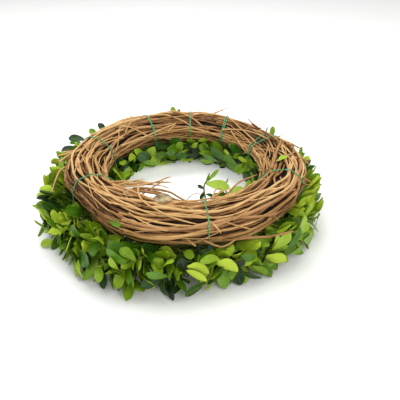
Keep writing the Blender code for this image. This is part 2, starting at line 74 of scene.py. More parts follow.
# The ring is not quite even: angles round it where its outer side is narrower, or its top is
# lower, by how large a share, and how many degrees that reaches
NARROWER = ((203, 0.10, 38), (219, 0.40, 20), (34, 0.22, 20), (316, 0.15, 15), (128, -0.08, 25))
LOWER = ((38, 0.26, 25), (125, -0.09, 28))

# Each layer of vines: how deep it lies and how much that varies, how many vines there are
# across a section, how far round the ring they run and how far they drift on its section,
# both in degrees, and their range of tones. The last ones bind the others across.
LAYERS = (
    (-0.0050, 0.0005, 32, (110, 290), 12, (0.80, 1.20)),
    (-0.0032, 0.0007, 32, (110, 290), 20, (0.50, 1.40)),
    (-0.0012, 0.0008, 30, (110, 290), 30, (0.30, 1.35)),
    (0.0005, 0.0008, 16, (90, 240), 44, (0.35, 1.35)),
    (0.0011, 0.0005, 6, (40, 95), 120, (0.70, 1.35)),
)
# Each vine starts this share of the section on from the last
TURN_TO_NEXT = 0.618
VINE_RADIUS = (0.00072, 0.00180)
THIN_ONES_PREVAIL = 1.5
VINE_TAPER = 0.35
VINE_STEP = 0.0036
VINE_SIDES = 8
VINE_UNEVEN = 0.09
# At its ends a vine sinks in, over a length, and is pointed, over a shorter one
SINKS_AT_ENDS = 0.0050
SINKS_OVER = 0.016
POINTED_OVER = 0.006
POINT_SIZE = 0.3
# Waves along a vine, each a wavelength and a size: on the section in radians, and in height
VINE_WAVERS = ((0.23, 0.14), (0.115, 0.08), (0.05, 0.025))
HEIGHT_WAVERS = ((0.12, 0.0006), (0.05, 0.0005), (0.022, 0.0002))
STAYS_STRAIGHT = 0.10
# A vine swells and kinks at its knots, and some of them carry the stub of a side shoot
KNOT_SPACING = (0.025, 0.060)
KNOT_LENGTH = 0.0028
KNOT_SWELL = 0.45
KINK = 0.0009
STUB_CHANCE = 0.28
STUB_LENGTH = (0.0030, 0.0085)
STUB_RADIUS = 0.6
STUB_ALONG, STUB_OUT = 0.7, 0.45
STUB_VARIES, STUB_BEND = 0.25, 0.2
STUBS_ABOVE = -0.001
RING_TOP = 0.0755
# Painted shade on the bark down between the vines: where it starts, as a share of the ring's
# half section, the depth at which it is full, and by how much tone
PAINTED_SHADE_FROM = 1.07
PAINTED_SHADE_DEPTH = 0.0042
PAINTED_SHADE_TONE = 0.80
# The packed middle, near black as painted shade: how deep it lies, its lumps, and ridges that sway
# as they run round it
CORE_LIFT = -0.0066
CORE_STEPS, CORE_SIDES = 240, 40
CORE_LUMPS = 0.0004
CORE_RIDGE, CORE_RIDGES = 0.0009, 20
CORE_SWAY, CORE_SWAYS = 0.8, 3
CORE_PATTERN_REACH = 0.02
CORE_TONE = 0.3

# Where the vines part: angle round the ring and on its section, reach and push, in degrees
PARTINGS = (
    (325, 90, 12, 24),
    (349, 90, 8, 10),
    (232, 96, 7, 6),
    (250, 78, 7, 6),
    (206, 70, 8, 4),
)

# Loose ends that leave the ring, each a line of points and a thickness, both in millimetres,
# and a tone
TWIGS = (
    # The long one at the front right, one that hangs at the left, and tips back and right
    (((12, -122, 43), (53, -127, 46), (97, -124, 50)), 1.5, 0.45),
    (((-124, -4, 58), (-136, -14, 57), (-141, -40, 44)), 1.2, 0.8),
    (((22, 113, 62), (38.8, 117.8, 68), (61.3, 123.8, 73.5)), 0.7, 0.8),
    (((34, 114, 64), (47, 119, 70), (54, 119.5, 71)), 0.6, 0.5),
    (((112, 10, 66), (138, -12, 62)), 1.3, 0.4),
    (((112, -45, 56), (130, -54, 56)), 1.4, 0.4),
    # Ends that point into the hole from the left, and one that crosses it at the right
    (((-90, -40, 56), (-50, -52, 62), (-12, -53, 63)), 1.2, 0.9),
    (((-84, -52, 58), (-40, -56, 63), (-14, -49, 67)), 1.1, 0.8),
    (((-70, -60, 65), (-44, -86, 71), (-20, -104, 69)), 1.1, 0.9),
    (((-86, -46, 60), (-56, -49, 63), (-34, -52, 62)), 1.1, 0.8),
    (((-78, -58, 60), (-56, -53, 64.5), (-40, -51, 66)), 1, 1.0),
    (((36, -83, 61), (55, -60, 66), (76, -40, 62)), 1.1, 0.7),
    (((-60, -50, 60), (-30, -56, 62), (-16, -59, 60)), 0.8, 0.9),
    (((-44, -72, 60), (-30, -63, 65), (-22, -56, 66)), 0.9, 0.6),
    # Long ones over the front, and the strands along the inner edge there
    (((-46, -67, 69), (-44, -85.5, 70.5), (-38.5, -101, 72.2), (-25.5, -115.5, 71.8),
      (-10, -124.5, 68.5), (20, -129, 61)), 1, 0.9),
    (((-60, -108, 64), (-20, -127, 65.5), (6.6, -130.5, 63.5)), 1.2, 0.8),
    (((-52, -60, 61), (-38.7, -65.2, 64), (-23.7, -71.3, 65), (-12.9, -74.7, 63.5),
      (-0.7, -85.1, 62), (12, -90, 59)), 1.4, 0.6),
    (((-56, -64, 60), (-42, -68, 62.2), (-28, -73.5, 62), (-12, -80, 61), (4, -88, 59)), 1.5, 0.5),
    (((-60, -58, 59), (-44, -63.5, 60.6), (-30, -68.5, 62), (-18, -73.5, 60.6),
      (-8, -82, 59)), 1.3, 0.9),
    # Hooks and stubs at the inner and the outer edge of the front
    (((-1, -86.5, 60), (5, -80, 63), (10.4, -77.2, 64), (15, -75.5, 63)), 0.5, 0.1),
    (((25, -85, 60), (26.8, -80.5, 62.5), (30, -73.7, 66), (35.8, -70.8, 65.5)), 1.1, 0.9),
    (((26, -83, 61), (32.1, -78.1, 64), (46.8, -68, 64)), 0.8, 1.1),
    (((20, -120, 63), (26.2, -131, 63), (30.2, -135.2, 59)), 1, 1.0),
    (((15, -133, 50), (31, -136.8, 45.5), (45, -132, 50)), 1.1, 0.7),
    (((0, -130, 50), (8.5, -136.5, 46.2)), 1.4, 0.8),
    # Ends at the left
    (((-116, 18, 66), (-131, 15, 64), (-144.6, 11.3, 62)), 1.3, 0.9),
    (((-118, 8, 65), (-131, 5, 63), (-143.6, 0.7, 60)), 1.3, 0.7),
    (((-117, 16, 67), (-128, 8, 66), (-138.5, -3, 62)), 1.1, 1.1),
    (((-114, 22, 66), (-127, 19, 65), (-139, 17, 64)), 1.1, 0.8),
    # Jagged ends at the right back
    (((101, 62, 61), (94.6, 71.3, 65.5), (87.5, 74.9, 70.3), (80.9, 79.2, 75.8)), 0.9, 0.3),
    (((97, 66, 62.5), (90.5, 73.5, 67), (85, 76.5, 70.2)), 1, 0.5),
    (((100, 59, 63), (101.5, 61, 65.7), (103.6, 64, 70.5)), 1.1, 0.5),
    (((106, 31, 67), (110, 33.5, 70), (114, 34.6, 72.2)), 1.2, 0.6),
    # Ones that cross the others at the back and the right, and ends that leave there
    (((-75.1, 40, 59.7), (-59.6, 59.6, 57.8), (-41.1, 74.2, 59.3), (-26, 82.6, 62.6),
      (-11.8, 89.5, 66.5)), 1.1, 1.1),
    (((-20.5, 82.1, 58.5), (-15.7, 85, 62.5), (-10.2, 89.6, 66.8)), 1, 1.0),
    (((48.2, 75.7, 63), (61.9, 71.2, 64.8), (71.2, 67.6, 65.9), (88.8, 49.2, 67.9),
      (100.9, 30.8, 69.5)), 1.1, 1.1),
    (((89.9, -40, 69), (95.5, -23.8, 70.6), (101.7, -5.3, 71.6), (110.1, 16.5, 72),
      (113.8, 29.4, 70)), 1.9, 0.6),
    (((58.4, 95.3, 68), (61.3, 90.8, 69.3), (74.2, 63.4, 66.1), (81.8, 42.6, 65),
      (84.9, 32.6, 64)), 1.1, 0.9),
    (((59.3, 70.6, 63), (61.2, 64.5, 61.4), (68.6, 48.9, 54.9), (75.4, 38.4, 47.7)), 1, 0.9),
    (((96.5, 62.6, 66.5), (98.9, 51.5, 69.3), (107.3, 27.8, 71.4), (113.3, 12.9, 70.5)), 1.3, 0.6),
    (((116.9, 15.4, 70), (121.5, 5, 73.5), (120.5, -5.2, 73.5), (115.5, -14.2, 70)), 1, 0.4),
    (((112, 30, 67), (124, 24, 67), (133, 12, 66)), 1.2, 0.5),
    (((118, -2, 65), (130, -12, 65), (137.5, -23, 62)), 1, 0.6),
    (((110, -34, 60), (124, -44, 59), (133, -50, 57)), 1.1, 0.5),
)
TWIG_UNEVEN = 0.08
TWIG_WAVER = 0.0007
WAVERS_FULLY_FROM = 0.080
SHREDS = 110
SHRED_LENGTH = (0.015, 0.060)
SHRED_RADIUS = (0.0003, 0.0007)
SHRED_LIFT = 0.0013
SHRED_SLANT = 14
SHRED_WAVERS = ((0.09, 0.04),)
SHRED_HEIGHT_WAVERS = ((0.07, 0.0006),)
SHRED_TONES = (0.6, 1.2)
SHARP_FROM = 60


def srgb(code):
    """A hex sRGB colour as linear red, green, blue and alpha."""
    shares = [int(code[place:place + 2], 16) / 255 for place in (1, 3, 5)]
    linear = [s / 12.92 if s <= 0.04045 else ((s + 0.055) / 1.055) ** 2.4 for s in shares]
    return (*linear, 1.0)


def add_node(tree, kind, settings=None, stops=(), **links):
    """A new node with its settings, its (place, colour) stops, and its inputs set or linked."""
    node = tree.nodes.new(kind)
    for name, value in (settings or {}).items():
        setattr(node, name, value)
    for name, value in links.items():
        place = int(name[1:]) if name[1:].isdigit() else name.replace("_", " ")
        if isinstance(value, bpy.types.NodeSocket):
            tree.links.new(value, node.inputs[place])
        else:
            node.inputs[place].default_value = value
    if stops:
        elements = node.color_ramp.elements
        while len(elements) < len(stops):
            elements.new(0.5)
        for element, (place, code) in zip(elements, stops):
            element.position = place
            element.color = srgb(code)
    return node


def new_material(name, **values):
    """A material with its shader's own values set, and its node tree and shader."""
    made = bpy.data.materials.new(name)
    made.use_nodes = True
    shader = made.node_tree.nodes["Principled BSDF"]
    for socket, value in values.items():
        shader.inputs[socket.replace("_", " ")].default_value = value
    return made, made.node_tree, shader


def bark_finish(name, codes, roughness):
    """Dry vine bark: matt and fibrous, streaked along the vine and blotched where it peels."""
    made, tree, shader = new_material(name, Roughness=roughness, Specular_IOR_Level=0.25)
    grown = add_node(tree, "ShaderNodeAttribute", {"attribute_name": "grown"})
    tone = add_node(tree, "ShaderNodeAttribute", {"attribute_name": "tone"})
    # Strips of bark about 1.4 mm wide and five times as long
    along = add_node(
        tree, "ShaderNodeMapping", Vector=grown.outputs["Vector"], Scale=(0.20, 1, 1)
    )
    fibres = add_node(
        tree, "ShaderNodeTexNoise",
        Vector=along.outputs[0], Scale=700.0, Detail=4.0, Roughness=0.65,
    )
    # Peeled and weathered patches some 5 mm across and 15 mm long
    patch_place = add_node(
        tree, "ShaderNodeMapping", Vector=grown.outputs["Vector"], Scale=(0.33, 1, 1)
    )
    patches = add_node(
        tree, "ShaderNodeTexNoise", Vector=patch_place.outputs[0], Scale=200.0, Detail=3.0
    )
    # The tone, which on the ring's vines carries painted shade down between them, its patches and
    # its streaks together choose the colour
    toned = add_node(
        tree, "ShaderNodeMath", {"operation": "MULTIPLY_ADD"},
        _0=patches.outputs["Fac"], _1=1.1, _2=tone.outputs["Fac"],
    )
    streaked = add_node(
        tree, "ShaderNodeMath", {"operation": "MULTIPLY_ADD"},
        _0=fibres.outputs["Fac"], _1=1.6, _2=toned.outputs[0],
    )
    spread = add_node(
        tree, "ShaderNodeMapRange", Value=streaked.outputs[0], From_Min=0.90, From_Max=2.75
    )
    colour = add_node(
        tree, "ShaderNodeValToRGB", stops=list(zip((0.0, 0.33, 0.66, 1.0), codes)),
        Fac=spread.outputs[0],
    )
    tree.links.new(colour.outputs["Color"], shader.inputs["Base Color"])
    # Fibres that stand up farther than real ones, so that they show
    bump = add_node(
        tree, "ShaderNodeBump", Height=fibres.outputs["Fac"], Strength=0.9, Distance=0.0010
    )
    tree.links.new(bump.outputs[0], shader.inputs["Normal"])
    return made


class Heap:
    """Gathers the points, faces and what is painted on them for one piece."""

    def __init__(self):
        self.points = []
        self.faces = []
        self.finishes = []
        self.grown = []
        self.tones = []
        self.count = 0

    def add(self, points, faces, finishes, grown, tone):
        self.points.append(points)
        self.faces += [tuple(corner + self.count for corner in face) for face in faces]
        self.finishes += finishes
        self.grown.append(grown)
        self.tones.append(np.full(len(points), float(tone)))
        self.count += len(points)

    def piece(self, name, materials, slot, *replaced):
        """Makes the mesh, set on the ring's axis, as a piece that stands for CAD nodes."""
        mesh = bpy.data.meshes.new(name)
        placed = np.concatenate(self.points) + RING_AXIS
        mesh.from_pydata(placed.tolist(), [], self.faces)
        for finish in materials:
            mesh.materials.append(finish)
        mesh.polygons.foreach_set("material_index", self.finishes)
        grown = mesh.attributes.new("grown", "FLOAT_VECTOR", "POINT")
        grown.data.foreach_set("vector", np.concatenate(self.grown).ravel())
        tones = mesh.attributes.new("tone", "FLOAT", "POINT")
        tones.data.foreach_set("value", np.concatenate(self.tones))
        mesh.shade_smooth()
        mesh.set_sharp_from_angle(angle=math.radians(SHARP_FROM))
        made = bpy.data.objects.new(name, mesh)
        bpy.context.scene.collection.objects.link(made)
        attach(made, "root")
        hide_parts(*replaced)


def smooth_line(points, steps):
    """A smooth curve through points, with this many steps between each two."""
    line = [Vector(point) for point in points]
    padded = [2 * line[0] - line[1], *line, 2 * line[-1] - line[-2]]
    curve = []
    for a, b, c, d in zip(padded, padded[1:], padded[2:], padded[3:]):
        for step in range(steps):
            t = step / steps
            curve.append(
                0.5 * (2 * b + (c - a) * t + (2 * a - 5 * b + 4 * c - d) * t * t
                       + (3 * b - 3 * c + d - a) * t ** 3)
            )
    curve.append(line[-1])
    return np.array(curve)


def add_stem(heap, points, radii, sides, finish, tone, start=0.0, uneven=0.0, draw=None):
    """A round stem along points. It is closed at its ends, or runs round if they meet."""
    points = np.asarray(points, float)
    radii = np.broadcast_to(np.asarray(radii, float), len(points))
    runs_round = np.linalg.norm(points[0] - points[-1]) < 1e-9
    tangents = np.gradient(points, axis=0)
    if runs_round:
        tangents[0] = tangents[-1] = points[1] - points[-2]
    tangents /= np.maximum(np.linalg.norm(tangents, axis=1, keepdims=True), 1e-12)
    first = np.cross(tangents[0], (0.0, 0.0, 1.0))
    if np.linalg.norm(first) < 0.2:
        first = np.cross(tangents[0], (0.0, 1.0, 0.0))
    sideways = [first / np.linalg.norm(first)]
    for tangent in tangents[1:]:
        carried = sideways[-1] - tangent * sideways[-1].dot(tangent)
        sideways.append(carried / np.linalg.norm(carried))
    sideways = np.array(sideways)
    upward = np.cross(tangents, sideways)
    turns = TAU * np.arange(sides) / sides
    shape = radii[:, None] * np.ones(sides)
    if uneven:
        shape = shape * (1 + draw.normal(0, uneven, shape.shape))
    across = shape * np.cos(turns)
    over = shape * np.sin(turns)
    rings = (
        points[:, None] + across[..., None] * sideways[:, None] + over[..., None] * upward[:, None]
    )
    lengths = np.concatenate(([0], np.cumsum(np.linalg.norm(np.diff(points, axis=0), axis=1))))
    grown = np.stack((np.repeat(start + lengths[:, None], sides, 1), across, over), -1)
    faces = [
        (i * sides + j, i * sides + (j + 1) % sides,
         (i + 1) * sides + (j + 1) % sides, (i + 1) * sides + j)
        for i in range(len(points) - 1) for j in range(sides)
    ]
    last = (len(points) - 1) * sides
    if runs_round:
        faces = [tuple(c - last if c >= last else c for c in face) for face in faces]
        rings, grown = rings[:-1], grown[:-1]
    else:
        faces.append(tuple(range(sides - 1, -1, -1)))
        faces.append(tuple(range(last, last + sides)))
    finishes = [finish] * len(faces)
    heap.add(rings.reshape(-1, 3), faces, finishes, grown.reshape(-1, 3), tone)


def away(angles, degrees):
    """How far angles in radians are past one in degrees, in degrees from -180 to 180."""
    return (np.degrees(angles) - degrees + 180) % 360 - 180


def uneven_share(theta, places):
    """The share of its usual size that one side of the ring has at angles round it."""
    return 1 - sum(by * np.exp(-((away(theta, at) / reach) ** 2)) for at, by, reach in places)


def on_ring(theta, phi, lift):
    """Points on the ring's section at angle phi, drawn in a little where the ties hold it."""
    nearest = np.min([np.abs(away(theta, tie)) for tie in WIRES_AT], axis=0)
    tight = 1 - TIE_SQUEEZE * np.exp(-((nearest / TIE_SQUEEZE_TURN) ** 2))
    slim = np.where(np.cos(phi) > 0, uneven_share(theta, NARROWER), 1)
    low = np.where(np.sin(phi) > 0, uneven_share(theta, LOWER), 1)
    rho = RING_RADIUS + (RING_HALF_WIDTH + lift) * tight * slim * np.cos(phi)
    z = RING_HEIGHT + (RING_HALF_HEIGHT + lift) * tight * low * np.sin(phi)
    return np.stack((rho * np.cos(theta), rho * np.sin(theta), z), -1)


def parted(theta, phi):
    """The section angles phi, pushed apart where the vines part."""
    for around, at, reach, push in PARTINGS:
        near = np.exp(-((away(theta, around) / reach) ** 2))
        off = away(phi, at)
        spread = push * near * off / (np.abs(off) + 4) * np.exp(-((off / 40) ** 2))
        phi = phi + np.radians(spread)
    return phi


def waver(draw, along, sizes):
    """Wavering along a vine, as a sum of waves, each a wavelength and a size."""
    total = np.zeros_like(along)
    for wavelength, size in sizes:
        total += size * np.sin(TAU * (along / wavelength + draw.random()))
    return total


def add_stub(heap, draw, place, forward, radius, tone):
    """The stub of a broken side shoot, which leans out and along the vine from its knot."""
    theta = math.atan2(place[1], place[0])
    middle = np.array((RING_RADIUS * math.cos(theta), RING_RADIUS * math.sin(theta), RING_HEIGHT))
    out = (place - middle) / np.linalg.norm(place - middle)
    way = forward * draw.choice((-STUB_ALONG, STUB_ALONG)) + out * STUB_OUT
    way = way + draw.normal(0, STUB_VARIES, 3)
    way /= np.linalg.norm(way)
    bend = draw.normal(0, STUB_BEND, 3)
    length = draw.uniform(*STUB_LENGTH)
    line = [place + length * (step * way + step * step * bend) for step in (0, 0.5, 1)]
    if max(point[2] for point in line) < RING_TOP:
        add_stem(heap, line, np.array((1, 0.8, 0.7)) * radius, 6, 0, tone)


def add_vine(heap, draw, phi, layer):
    """One wound vine: it runs part of the way round, drifts over the others and tucks in."""
    lift, varies, _, spans, drift, tones = layer
    span = math.radians(draw.uniform(*spans))
    length = span * RING_RADIUS
    share = np.linspace(0, 1, int(length / VINE_STEP) + 1)
    along = share * length
    theta = draw.uniform(0, TAU) + span * share * draw.choice((-1, 1))
    knots = np.cumsum(draw.uniform(*KNOT_SPACING, int(length / KNOT_SPACING[0]) + 2))
    swollen = sum(np.exp(-(((along - knot) / KNOT_LENGTH) ** 2)) for knot in knots)
    swell = 1 + KNOT_SWELL * swollen
    kink = np.interp(along, knots, draw.normal(0, KINK, len(knots)))
    phi = phi + math.radians(drift) * draw.normal() * (share - 0.5)
    phi = phi + waver(draw, along, VINE_WAVERS) + kink / RING_HALF_HEIGHT
    if draw.random() > STAYS_STRAIGHT:
        phi = parted(theta, phi)
    from_end = np.minimum(along, length - along)
    tucked = SINKS_AT_ENDS * np.exp(-((from_end / SINKS_OVER) ** 2))
    height = lift + draw.uniform(-varies, varies) - tucked + waver(draw, along, HEIGHT_WAVERS)
    points = on_ring(theta, phi, height)
    thinnest, thickest = VINE_RADIUS
    radius = thinnest + (thickest - thinnest) * draw.random() ** THIN_ONES_PREVAIL
    pointed = np.clip(from_end / POINTED_OVER, POINT_SIZE, 1)
    tone = draw.uniform(*tones)
    add_stem(
        heap, points, radius * swell * pointed * (1 - VINE_TAPER * share), VINE_SIDES, 0, tone,
        start=draw.uniform(0, 40), uneven=VINE_UNEVEN, draw=draw,
    )
    forward = np.gradient(points, axis=0)
    for knot in knots[knots < length]:
        spot = int(knot / length * (len(points) - 1))
        if lift > STUBS_ABOVE and draw.random() < STUB_CHANCE:
            aim = forward[spot] / np.linalg.norm(forward[spot])
            add_stub(heap, draw, points[spot], aim, radius * STUB_RADIUS, tone)


def add_shred(heap, draw):
    """A thin strip of bark that has peeled off and lies across the vines."""
    length = draw.uniform(*SHRED_LENGTH)
    along = np.linspace(0, length, 12)
    theta = draw.uniform(0, TAU) + along / RING_RADIUS
    phi = draw.uniform(-0.3, math.pi + 0.3) + draw.normal(0, SHRED_SLANT) * along
    phi = phi + waver(draw, along, SHRED_WAVERS)
    lift = SHRED_LIFT + waver(draw, along, SHRED_HEIGHT_WAVERS)
    thin = draw.uniform(*SHRED_RADIUS)
    add_stem(heap, on_ring(theta, phi, lift), thin, 5, 0, draw.uniform(*SHRED_TONES))


def round_faces(steps, sides):
    """The faces of a closed ring of points: steps round it, sides round its section."""
    return [
        (i * sides + j, ((i + 1) % steps) * sides + j,
         ((i + 1) % steps) * sides + (j + 1) % sides, i * sides + (j + 1) % sides)
        for i in range(steps) for j in range(sides)
    ]


def packed_core(heap):
    """The vines packed inside, as one lumpy ring that shows only through the gaps, painted near
    black as shade.
    """
    draw = np.random.default_rng(5)
    steps, sides = CORE_STEPS, CORE_SIDES
    around = TAU * np.arange(steps + 1) / steps
    section = TAU * np.arange(sides) / sides
    lumps = draw.normal(0, CORE_LUMPS, (steps + 1, sides))
    sway = CORE_SWAY * np.sin(CORE_SWAYS * around)[:, None]
    lumps += CORE_RIDGE * np.sin(CORE_RIDGES * section + sway)
    lumps[-1] = lumps[0]
    rows = [
        on_ring(around, np.full(steps + 1, phi), CORE_LIFT + lumps[:, j])
        for j, phi in enumerate(section)
    ]
    points = np.stack(rows, 1)[:-1]
    faces = round_faces(steps, sides)
    grown = np.stack((
        np.repeat(around[:-1, None] * RING_RADIUS, sides, 1),
        np.tile(CORE_PATTERN_REACH * np.cos(section), (steps, 1)),
        np.tile(CORE_PATTERN_REACH * np.sin(section), (steps, 1)),
    ), -1)
    heap.add(points.reshape(-1, 3), faces, [0] * len(faces), grown.reshape(-1, 3), CORE_TONE)


def paint_shade_in_gaps(heap):
    """Lowers the tone of the bark down between the vines, as painted shade."""
    points = np.concatenate(heap.points)
    out = (np.hypot(points[:, 0], points[:, 1]) - RING_RADIUS) / RING_HALF_WIDTH
    up = (points[:, 2] - RING_HEIGHT) / RING_HALF_HEIGHT
    depth = (PAINTED_SHADE_FROM - np.hypot(out, up)) * RING_HALF_HEIGHT
    heap.tones = [np.concatenate(heap.tones) - np.clip(depth / PAINTED_SHADE_DEPTH, 0, 1) * PAINTED_SHADE_TONE]


# Four barks, each with its colours from the deep to the worn, and its roughness. The last is a
# near-black bark, painted shade for the deepest layer of vines.
BARKS = {
    "golden": (("#3A240F", "#A67A46", "#C89C62", "#D8B47C"), 0.72),
    "brown": (("#2E1B0C", "#8A6038", "#B08454", "#CA9E6E"), 0.76),
    "russet": (("#2A180B", "#7C5430", "#A07448", "#B88C5E"), 0.78),
    "deep_painted_shade": (("#1A110A", "#3E2A1A", "#6E4E32", "#90704E"), 0.85),
}
HOW_LIKELY = (0.46, 0.34, 0.20, 0)
GOLDEN_FROM_TONE = 0.7

vine_draw = np.random.default_rng(11)
vine_heaps = {name: Heap() for name in BARKS}
# The deepest layer of vines gets the near-black bark, as painted shade in the gaps
for layer in LAYERS:
    mean_span = sum(layer[3]) / 2
    for number in range(round(layer[2] * 360 / mean_span)):
        bark = "deep_painted_shade" if layer is LAYERS[0] else vine_draw.choice(list(BARKS), p=HOW_LIKELY)
        place = TAU * number * TURN_TO_NEXT + vine_draw.uniform(0, 0.2)
        add_vine(vine_heaps[bark], vine_draw, place, layer)
# The wires and the dry leaf lie on these vines, and not on the loose ends that come next
vine_trees = [
    BVHTree.FromPolygons(np.concatenate(heap.points).tolist(), heap.faces)
    for heap in vine_heaps.values()
]
for route, thick, tone in TWIGS:
    line = smooth_line(np.array(route) / 1000, 6)
    share = np.linspace(0, 1, len(line))
    size = TWIG_WAVER * min(1, np.linalg.norm(line[-1] - line[0]) / WAVERS_FULLY_FROM)
    line[:, 1] += size * np.sin(TAU * (2.2 * share + 0.007 * thick)) * share
    line[:, 2] += size * np.sin(TAU * (1.7 * share + tone)) * share
    heap = vine_heaps["golden" if tone > GOLDEN_FROM_TONE else "brown"]
    thinner = np.linspace(1, 0.6, len(line))
    thinner[-1] = 0.25
    add_stem(
        heap, line, thinner * thick / 1000, VINE_SIDES, 0, tone,
        uneven=TWIG_UNEVEN, draw=vine_draw,
    )
for number in range(SHREDS):
    add_shred(vine_heaps["golden"], vine_draw)

# The bark down between the vines is darkened as painted shade before the pieces are made
for name, (codes, roughness) in BARKS.items():
    paint_shade_in_gaps(vine_heaps[name])
    bark = bark_finish(f"dry_bark_{name}", codes, roughness)
    vine_heaps[name].piece(f"vines_{name}", [bark], "vine", "vine_ring")

core_heap = Heap()
packed_core(core_heap)
# The packed middle's near-black bark is painted shade for the gaps between the vines
core_painted_shade_bark = bark_finish("packed_core_painted_shade", ("#0E0B09", "#1C1714", "#2E2823", "#433B34"), 0.9)
core_heap.piece("packed_vines_painted_shade", [core_painted_shade_bark], "vine", "vine_ring")

# The boxwood bunches
#
# Sprigs of common boxwood, cut 10 to 15 cm long and laid with their stems side by side
# under the ring. Their leaves sit in pairs, each pair a quarter turn from the last:
# leathery and dark green above, yellow green below, and lime green when young.

BUNCHES_AFTER_TIE = (3, 2, 2, 1, 1, 2, 2, 3)
STEMS_HALF_WIDTH = 0.0195
STEMS_HALF_HEIGHT = 0.0070
STEMS_MIDDLE = 0.0262
STEMS_IN_BUNCH = 20
BUNDLE_STEM_RADIUS = 0.0016
STEMS_START_BEFORE = 0.2
STEM_WAVERS = ((0.8, 0.0008),)
STEM_HEIGHT_WAVERS = ((1.0, 0.0005),)
SPRIG_STEM_RADIUS = 0.0011
THINNER_EACH_PAIR = 0.0001
LEAF_LENGTH = 0.0255
LEAF_WIDTH = 0.0128
LEAF_THICKNESS = 0.0006
LEAF_SLIM = (0.82, 1.08)
LEAF_CUP = (0.05, 0.40)
LEAF_DROOP = (-0.08, 0.22)
LEAF_TWIST = 0.25
LEAF_WAVE = 0.03
# The blade's outline grows out of its base by one power and closes at its tip by another
WEDGE, ROUND_TIP = 0.8, 0.55
WIDEST = 0.394
# How far its tip is set back in the middle, where it is notched, and at the sides
NOTCH, TIP_CORNERS = 0.015, 0.045
# Along a sprig: the spacing of its pairs, then how far the leaves of a pair and of the small
# last one open, in degrees, and their sizes
PAIR_SPACING = 0.0082
PAIR_OPENS, LAST_OPENS = (34, 66), (14, 34)
PAIR_SIZE, LAST_SIZE = (0.85, 1.12), (0.60, 0.88)
PAIR_TURN_VARIES = 0.3
SPRIG_BEND = 0.12
FLOOR_GAP = 0.0008
STEM_LOWEST = 0.0030
AROUND_RING = 0.0016
FOLIAGE_INNER = 0.0672

# How far the foliage reaches from the ring's axis, at angles round it
FOLIAGE_REACH = (
    (0, 0.155), (30, 0.156), (60, 0.157), (110, 0.158), (150, 0.160), (175, 0.162),
    (190, 0.166), (198, 0.169), (206, 0.169), (212, 0.163), (222, 0.165), (243, 0.168),
    (262, 0.164), (275, 0.158), (286, 0.153), (300, 0.154), (311, 0.161), (322, 0.155),
    (335, 0.158), (350, 0.154), (360, 0.155),
)
# How high it reaches outside the ring, at angles round it, and how much higher that is for
# each metre farther out in front, where the slope leaves the ring's lower edge in sight
TOP_AT = 0.1385
FOLIAGE_TOP = (
    (0, 0.053), (18, 0.051), (24, 0.045), (115, 0.045), (126, 0.054), (170, 0.057),
    (195, 0.054), (215, 0.050), (245, 0.0490), (268, 0.0485), (274, 0.0445), (279, 0.0420),
    (310, 0.0425), (322, 0.0470), (340, 0.051), (360, 0.053),
)
FRONT_FROM, FRONT_TO = 205, 335
FRONT_SLOPE = 0.66
HIGHEST = 0.058
# In the hole the foliage rises from the surface towards the ring's axis: the steepness of
# that rise, and the height the foliage reaches, at angles round the ring
RISES_FROM = 0.100
HOLE_RISE = (
    (0, 0.60), (45, 0.78), (135, 0.78), (180, 0.62), (215, 0.55), (325, 0.55), (360, 0.60),
)
HOLE_TOP = (
    (0, 0.0475), (40, 0.0530), (140, 0.0530), (180, 0.0490), (215, 0.0462), (325, 0.0462),
    (360, 0.0475),
)

# Sprigs that grow alike: root and heading on the section, lean along the ring, how many
# there are in a bunch, pairs of leaves, and how far the blades turn to face out of the bunch
SPRIG_ROWS = (
    (-15, -20, -20, 5, 3, 0.8),
    (0, -4, 20, 5, 3, 0.8),
    (-30, -34, 15, 5, 3, 0.8),
    (20, 14, -15, 5, 3, 0.8),
    (60, 10, 10, 6, 2, 0.8),
    (78, 16, -30, 5, 1, 0.9),
    (-50, -46, -15, 5, 3, 0.7),
    (170, 178, -20, 4, 2, 0.7),
    (150, 160, -10, 4, 2, 0.7),
    (120, 172, 15, 4, 1, 0.8),
    (-165, -165, 25, 4, 2, 0.7),
    (-70, -54, -35, 4, 2, 0.6),
    (-95, -75, 60, 4, 2, 0.8),
    (-115, -150, -50, 4, 2, 0.8),
    (-10, -10, 60, 4, 3, 0.5),
    (-60, -20, 50, 4, 3, 0.5),
    (165, 146, 10, 4, 2, 0.7),
    (150, 132, -25, 3, 1, 0.7),
)
ROOT_VARIES = 7
HEADING_VARIES = 13
LEAN_VARIES = 22
ONE_PAIR_MORE = 0.35
FACES_IN_OR_OUT = (0.45, 0.55)
# A leaf tries to find room this often. It tilts and nods by chance, the more the later the
# try. Its base, a share of its length, may lie in among other leaves.
TRIES = 9
TILT, TILT_MORE = 0.15, 0.5
NOD, NOD_MORE = 0.12, 0.3
LEAF_BASE = 0.2
# Leaves keep this far apart, between points sampled on them
LEAVES_APART = 0.0021
NEIGHBOURS_WITHIN = 0.024
# Tones of the sprigs, from 0, old and dark, to 1, young and lime green, and how common each is
SPRIG_TONES = ((0.00, 0.34), (0.33, 0.28), (0.65, 0.22), (0.92, 0.16))
# The bunches' tone changes round the ring, by angle, partly by age and partly as painted light and
# shade, and in the hole it is low, as painted shade
AGE_AND_LIGHT_ROUND_RING = (
    (0, 0.54), (50, 0.10), (120, 0.10), (176, 0.52), (192, 0.00), (205, 0.00), (213, 0.40),
    (222, 0.38), (240, 0.12), (270, 0.06), (310, 0.42), (330, 0.60), (360, 0.54),
)
HOLE_WITHIN = RING_RADIUS - 0.012
HOLE_TONE_PAINTED_SHADE = 0.06
YOUNGER_AT_TIP = 0.10
LEAF_TONES_VARY = 0.17

# The rows of points on a leaf, as shares of its length and of its half width. Room is kept
# between the ones in the middle and the two where it is widest.
ROWS_ALONG = (0.0, 0.12, 0.30, 0.48, 0.66, 0.82, 0.93, 1.0)
ROWS_ACROSS = (-1.0, -0.5, 0.0, 0.5, 1.0)


